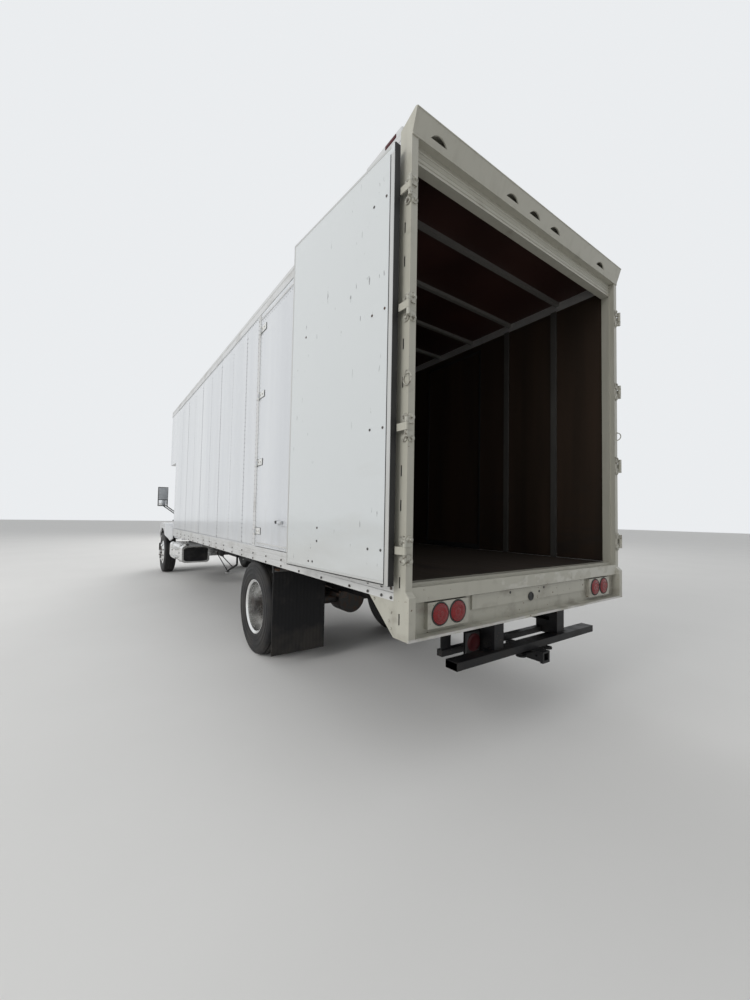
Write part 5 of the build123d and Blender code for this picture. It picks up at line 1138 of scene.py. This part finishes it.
lamp_bits += painted(amber, *(block("nose_lamp", about(x, 0.055), (8.648, 8.662), (3.835, 3.872), 0.006, 3)
                              for x in (-1.05, -0.25, 0.0, 0.25, 1.05)))
for side in SIDES:
    lamp_bits += built(
        (metal_rail, block, "side_lamp_box", about(side * 1.268, 0.024), (0.104, 0.50), (3.922, 3.978),
         0.010, 3),
        (dull_lens, block, "side_lamp", about(side * 1.290, 0.006), (0.16, 0.275), (3.938, 3.966), 0.005, 3))
fixed("marker_lamps", lamp_bits, "truck", "lamp_clear")


# Mirrors: tall black heads with a flat glass over a convex one, on two arms from each door. The
# glasses are silvered and a little smeared.
moulded = Finish("moulded_black", color=(0.022, 0.022, 0.023))
moulded.feed(roughness=moulded.noise(8.0) * 0.15 + 0.38)
moulded.bump(moulded.noise(400.0, detail=1.0), 0.0003, 0.6)
dress(moulded, "mirror_left", "mirror_right")
silver = Finish("mirror_silver", color=(0.80, 0.81, 0.82), metallic=1.0)
silver.feed(roughness=silver.noise(9.0, detail=5.0) * 0.08 + 0.01)
mirror_parts = [block("flat_glass", (1.244, 1.436), (9.2965, 9.300), (1.885, 2.172), 0.0014, 1),
                block("wide_glass", (1.244, 1.436), (9.2955, 9.300), (1.738, 1.868), 0.0018)]
paired("mirror_glass", mirror_parts, "cab_door_left", "mirror_black", finish=silver)


# Nose of the hood: a plated grille over a black mesh, ribbed lamp glasses in plated frames with
# amber lamps beside them, rubber catches at the sides and a seam down the middle.
HOOD_FACE = 11.060
chrome = worn("plated_steel", (0.68, 0.68, 0.69), (0.30, 0.26, 0.21), 55.0, (0.62, 0.8), 6.0,
              rough=(0.07, 0.3), metallic=1.0)
dress(chrome, "grille", "bumper")
lamp_glass = Finish("lamp_glass", metallic=0.3, coat=1.0)
flute = lamp_glass.x.folds(0.008)
lamp_glass.feed(color=flute.ramp(0.0, 0.008).mix((0.40, 0.41, 0.42), (0.78, 0.79, 0.80)),
                roughness=lamp_glass.noise(20.0) * 0.08 + 0.04)
lamp_glass.bump(flute * 90.0, 0.0015, 0.7)
dress(lamp_glass, "headlamps")
mesh = Finish("grille_mesh")
wires = (mesh.x.folds(0.008) > 0.0062) + (mesh.z.folds(0.008) > 0.0062)
mesh.feed(color=wires.mix(0.004, 0.06), roughness=wires * -0.2 + 0.6)
mesh.bump(wires, 0.003, 0.8)
BULL_LENS = [(0.0, 0.0), (0.0, 0.056), (0.004, 0.055), (0.007, 0.040), (0.009, 0.020), (0.0095, 0.0)]
nose_parts = built(
    (mesh, block, "grille_mesh", (-0.405, 0.405), (HOOD_FACE - 0.026, HOOD_FACE - 0.020), (0.885, 1.205),
     0.001, 1),
    (enamel, tube, "hood_seam", [at(0, 9.66, 1.6175), at(0, 10.50, 1.532), at(0, 10.96, 1.408)], 0.006,
     False, 4))
for side in SIDES:
    corners = [at(side * x, HOOD_FACE + 0.001, z)
               for x, z in ((0.530, 0.920), (0.810, 0.920), (0.810, 1.130), (0.530, 1.130))]
    nose_parts += built(
        (chrome, tube, "lamp_frame", rounded(corners, 0.02), 0.009, True),
        *((lamp_glass, lathe, "bull_lens", BULL_LENS, at(side * x, HOOD_FACE + 0.0025, 1.025), (0, -1, 0), 40)
          for x in (0.605, 0.735)),
        (amber, block, "turn_lamp", about(side * 0.885, 0.045), (11.020, 11.045), (0.965, 1.085), 0.008, 3),
        (black_rubber, block, "hood_catch", about(side * 1.030, 0.010), (9.735, 9.80), (1.350, 1.380), 0.005,
         3))
fixed("hood_trim", nose_parts, "hood", "grille_chrome")


# Bumper: a plated steel channel, pitted low down, with round-headed bolts, tow eyes and a bare
# number plate in its holder.
BUMPER_FACE = 11.153
TOW_EYE = (-0.04, 0.44), (0.028, 0.445), (0.035, 0.475), (0.028, 0.505), (-0.004, 0.51)
plate_paint = worn("bare_plate", (0.55, 0.56, 0.55), (0.68, 0.69, 0.68), 12.0, detail=5.0, roughness=0.35)
bumper_parts = built(
    (black_rubber, block, "plate_holder", about(0, 0.165), about(BUMPER_FACE + 0.001, 0.003), (0.50, 0.665),
     0.004),
    (plate_paint, block, "number_plate", about(0, 0.152), about(BUMPER_FACE + 0.0045, 0.0015),
     (0.512, 0.653), 0.001))
for side in SIDES:
    eye = [at(side * 0.50, BUMPER_FACE + out, height) for out, height in TOW_EYE]
    bumper_parts += built(
        (black_steel, tube, "tow_eye", eye, 0.011, False, 4),
        *((chrome, disc, "bumper_bolt", at(side * x, BUMPER_FACE + 0.003, height), (0, -1, 0),
           0.014, 0.008, 24, 0.0035, 3)
          for x in (0.358, 0.70) for height in (0.50, 0.64)))
fixed("bumper_fittings", bumper_parts, "truck", "bumper_chrome")


# Dashboard: padded grey moulding with a hooded panel of dials, four vents and a radio's bare face.
# The needles are amber, and the vents and knobs black.
DASH_BACK = 9.282
DIAL_HEIGHT = 1.445
vinyl = Finish("dash_vinyl")
leather = vinyl.node("ShaderNodeTexVoronoi", {"Vector": vinyl.place, "Scale": 420.0})
vinyl.feed(color=leather.mix((0.045, 0.045, 0.048), (0.07, 0.07, 0.073)), roughness=leather * 0.2 + 0.5)
vinyl.bump(leather, 0.0004, 0.6)
dress(vinyl, "dashboard")
dial_face = Finish("dial_face", color=0.012)
dial_face.feed(roughness=dial_face.noise(40.0) * 0.1 + 0.22)


def on_dash(name, across, low_out, high_out, tall, *edge):
    """A block that stands out from the dashboard's back between two amounts."""
    return block(name, across, (DASH_BACK - high_out, DASH_BACK - low_out), tall, *edge)


dash_parts = built((dial_face, on_dash, "dial_panel", (0.24, 0.64), -0.01, 0.006, (1.36, 1.53), 0.01),
                   (dial_face, on_dash, "radio", (-0.055, 0.125), -0.004, 0.008, (1.340, 1.392), 0.003),
                   (vinyl, on_dash, "dial_hood", (0.22, 0.66), -0.03, 0.055, (1.528, 1.552), 0.010, 3))
for x, radius in ((0.315, 0.052), (0.44, 0.052), (0.55, 0.034), (0.60, 0.022)):
    rim = [(0.0, radius - 0.006), (0.0, radius), (0.010, radius - 0.002), (0.008, radius - 0.006),
           (0.0, radius - 0.006)]
    dash_parts += built(
        (chrome, lathe, "dial_rim", rim, at(x, DASH_BACK - 0.006, DIAL_HEIGHT), Y, 32),
        (amber, on_dash, "needle", about(x, 0.0015), 0.008, 0.010, (DIAL_HEIGHT, DIAL_HEIGHT + radius * 0.75),
         0.0005, 1))
dash_parts += painted(black_rubber, *(
    on_dash("vent_bar", about(x, 0.06), 0.004, 0.012, (1.425 + 0.016 * n, 1.432 + 0.016 * n), 0.002, 1)
    for x in (-0.80, -0.10, 0.10, 0.80) for n in range(4)))
dash_parts += painted(moulded, *(disc("knob", at(x, DASH_BACK - 0.012, 1.366), Y, 0.012, 0.016, 24, 0.002)
                                 for x in (-0.03, 0.10)))
fixed("dash_fittings", dash_parts, "truck", "trim_plastic")


# Steering wheel: a round black grip with finger ridges on its inner side, three spokes and a padded
# boss on the sloping column.
GRIP = 0.215
column = Vector((0, math.cos(math.radians(40)), math.sin(math.radians(40))))
column_turn = Vector(Z).rotation_difference(column).to_matrix().to_4x4()
grip = hoop(GRIP, 0.0155, 120, 14)
for vertex in grip.data.vertices:
    angle = math.atan2(vertex.co.y, vertex.co.x)
    middle = Vector((vertex.co.x, vertex.co.y, 0)).normalized() * GRIP
    bulge = 1.06 if math.cos(angle * 30) > 0 and vertex.co.xy.length < GRIP else 1.0
    vertex.co = middle + (vertex.co - middle) * bulge
BOSS = [(-0.045, 0.0), (-0.045, 0.030), (-0.020, 0.046), (0.004, 0.062), (0.014, 0.060), (0.020, 0.050),
        (0.022, 0.0)]
wheel_bits = [grip, lathe("wheel_boss", BOSS, (0, 0, 0), Z, 40),
              disc("wheel_shaft", (0, 0, -0.075), Z, 0.012, 0.08, 20, 0.001)]
wheel_bits += [moved(slab("spoke", (0.03, -0.017, -0.007), (0.206, 0.017, 0.007), 0.005, 3),
                     Matrix.Rotation(math.radians(turn), 4, "Z")) for turn in (90, 210, 330)]
steering = moved(joined("steering_wheel_grip", wheel_bits),
                 Matrix.Translation(at(0.440, 9.120, 1.650)) @ column_turn)
fixed("steering_wheel_grip", [steering], "steering_wheel", "trim_plastic", "steering_wheel", finish=moulded)


# Seats: foam cushions and backs in grey woven cloth with piped edges and stitched channels, swelled
# with cloth simulation, on black plinths.
SEAT_TOP = 1.150
BACK_FOOT = at(0, 8.640, SEAT_TOP + 0.215)
cloth = Finish("seat_cloth")
weave = sum(cloth.node("ShaderNodeTexWave", {"Vector": cloth.place, "Scale": 160.0}, 1,
                       bands_direction=way) * 0.5
            for way in ("X", "DIAGONAL"))
faded = weave * 0.6 + cloth.noise(3.0, detail=5.0) * 0.4
cloth.feed(color=faded.mix((0.075, 0.08, 0.092), (0.17, 0.175, 0.19)), roughness=weave * 0.15 + 0.75)
cloth.bump(weave, 0.0008, 0.6)


def cushion(name, low, high):
    """A foam block: swelled as cloth, then sewn in channels by drawing lines of it inward."""
    margin = Vector((0.012, 0.012, 0.012))
    pad = take(slab(name, low + margin, high - margin, 0.035, 3))
    pad.data.remesh_voxel_size = 0.014
    bpy.ops.object.voxel_remesh()
    rest = [vertex.co.copy() for vertex in pad.data.vertices]
    swell = pad.modifiers.new("cloth", "CLOTH")
    swell.settings.use_pressure = True
    swell.settings.uniform_pressure_force = 4.0
    swell.settings.effector_weights.gravity = 0.0
    swell.settings.quality = 4
    for step in range(1, 21):
        scene.frame_set(step)
    bpy.ops.object.modifier_apply(modifier=swell.name)
    scene.frame_set(1)
    size = high - low
    deep = 2 if size.z > size.y else 1
    for vertex, start in zip(pad.data.vertices, rest):
        move = vertex.co - start
        reach = min(move.length, 0.024) if move.length > 1e-6 else 0.0
        vertex.co = place = start + move.normalized() * reach
        across = (place.x - low.x) / size.x
        along = (place[deep] - low[deep]) / size[deep]
        pull = sum(math.exp(-((across - channel) * size.x / 0.010) ** 2) * 0.011 for channel in (0.24, 0.76))
        if 0.24 < across < 0.76:
            pull += sum(math.exp(-((along - channel) * size[deep] / 0.010) ** 2) * 0.009
                        for channel in (0.33, 0.66))
        if deep == 2 and place.y <= (low.y + high.y) / 2:
            vertex.co.y += pull
        elif deep == 1 and place.z > (low.z + high.z) / 2:
            vertex.co.z -= pull
    return pad


lean = turn_about(BACK_FOOT, -10, "X")
seat_parts = []
for start, end, splits in ((0.180, 0.700, 1), (-0.850, 0.100, 2)):
    wide = (end - start) / splits
    for n in range(splits):
        left, far = start + n * wide + 0.004, start + (n + 1) * wide - 0.004
        seat_pad = cushion("seat_pad", at(left, 9.020, SEAT_TOP + 0.150), at(far, 8.660, SEAT_TOP + 0.275))
        back_pad = cushion("back_pad", at(left, 8.700, SEAT_TOP + 0.215), at(far, 8.580, SEAT_TOP + 0.900))
        seat_parts += painted(cloth, seat_pad, moved(back_pad, lean))
        left, far = left + 0.012, far - 0.012
        edge_line = [at(x, distance, SEAT_TOP + 0.238) for x, distance in (
            (left, 9.008), (far, 9.008), (far, 8.672), (left, 8.672))]
        seat_parts += painted(vinyl, tube("piping", rounded(edge_line, 0.035), 0.0045, True, 2))
    seat_parts += built((vinyl, block, "seat_frame", (start + 0.03, end - 0.03), (8.62, 8.98),
                         (SEAT_TOP + 0.005, SEAT_TOP + 0.160), 0.02, 3),
                        (moulded, block, "seat_plinth", (start + 0.05, end - 0.05), (8.60, 8.96),
                         (CAB_FLOOR, SEAT_TOP + 0.010), 0.012))
seats = fixed("padded_seats", seat_parts, "truck", "seat_fabric", "seats", angle=50)
floor_mat = block("cab_floor_mat", (-0.90, 0.90), (8.52, 9.52), (CAB_FLOOR, CAB_FLOOR + 0.006), 0.003)
fixed("cab_floor_mat", [floor_mat], "truck", "trim_plastic", finish=black_rubber)
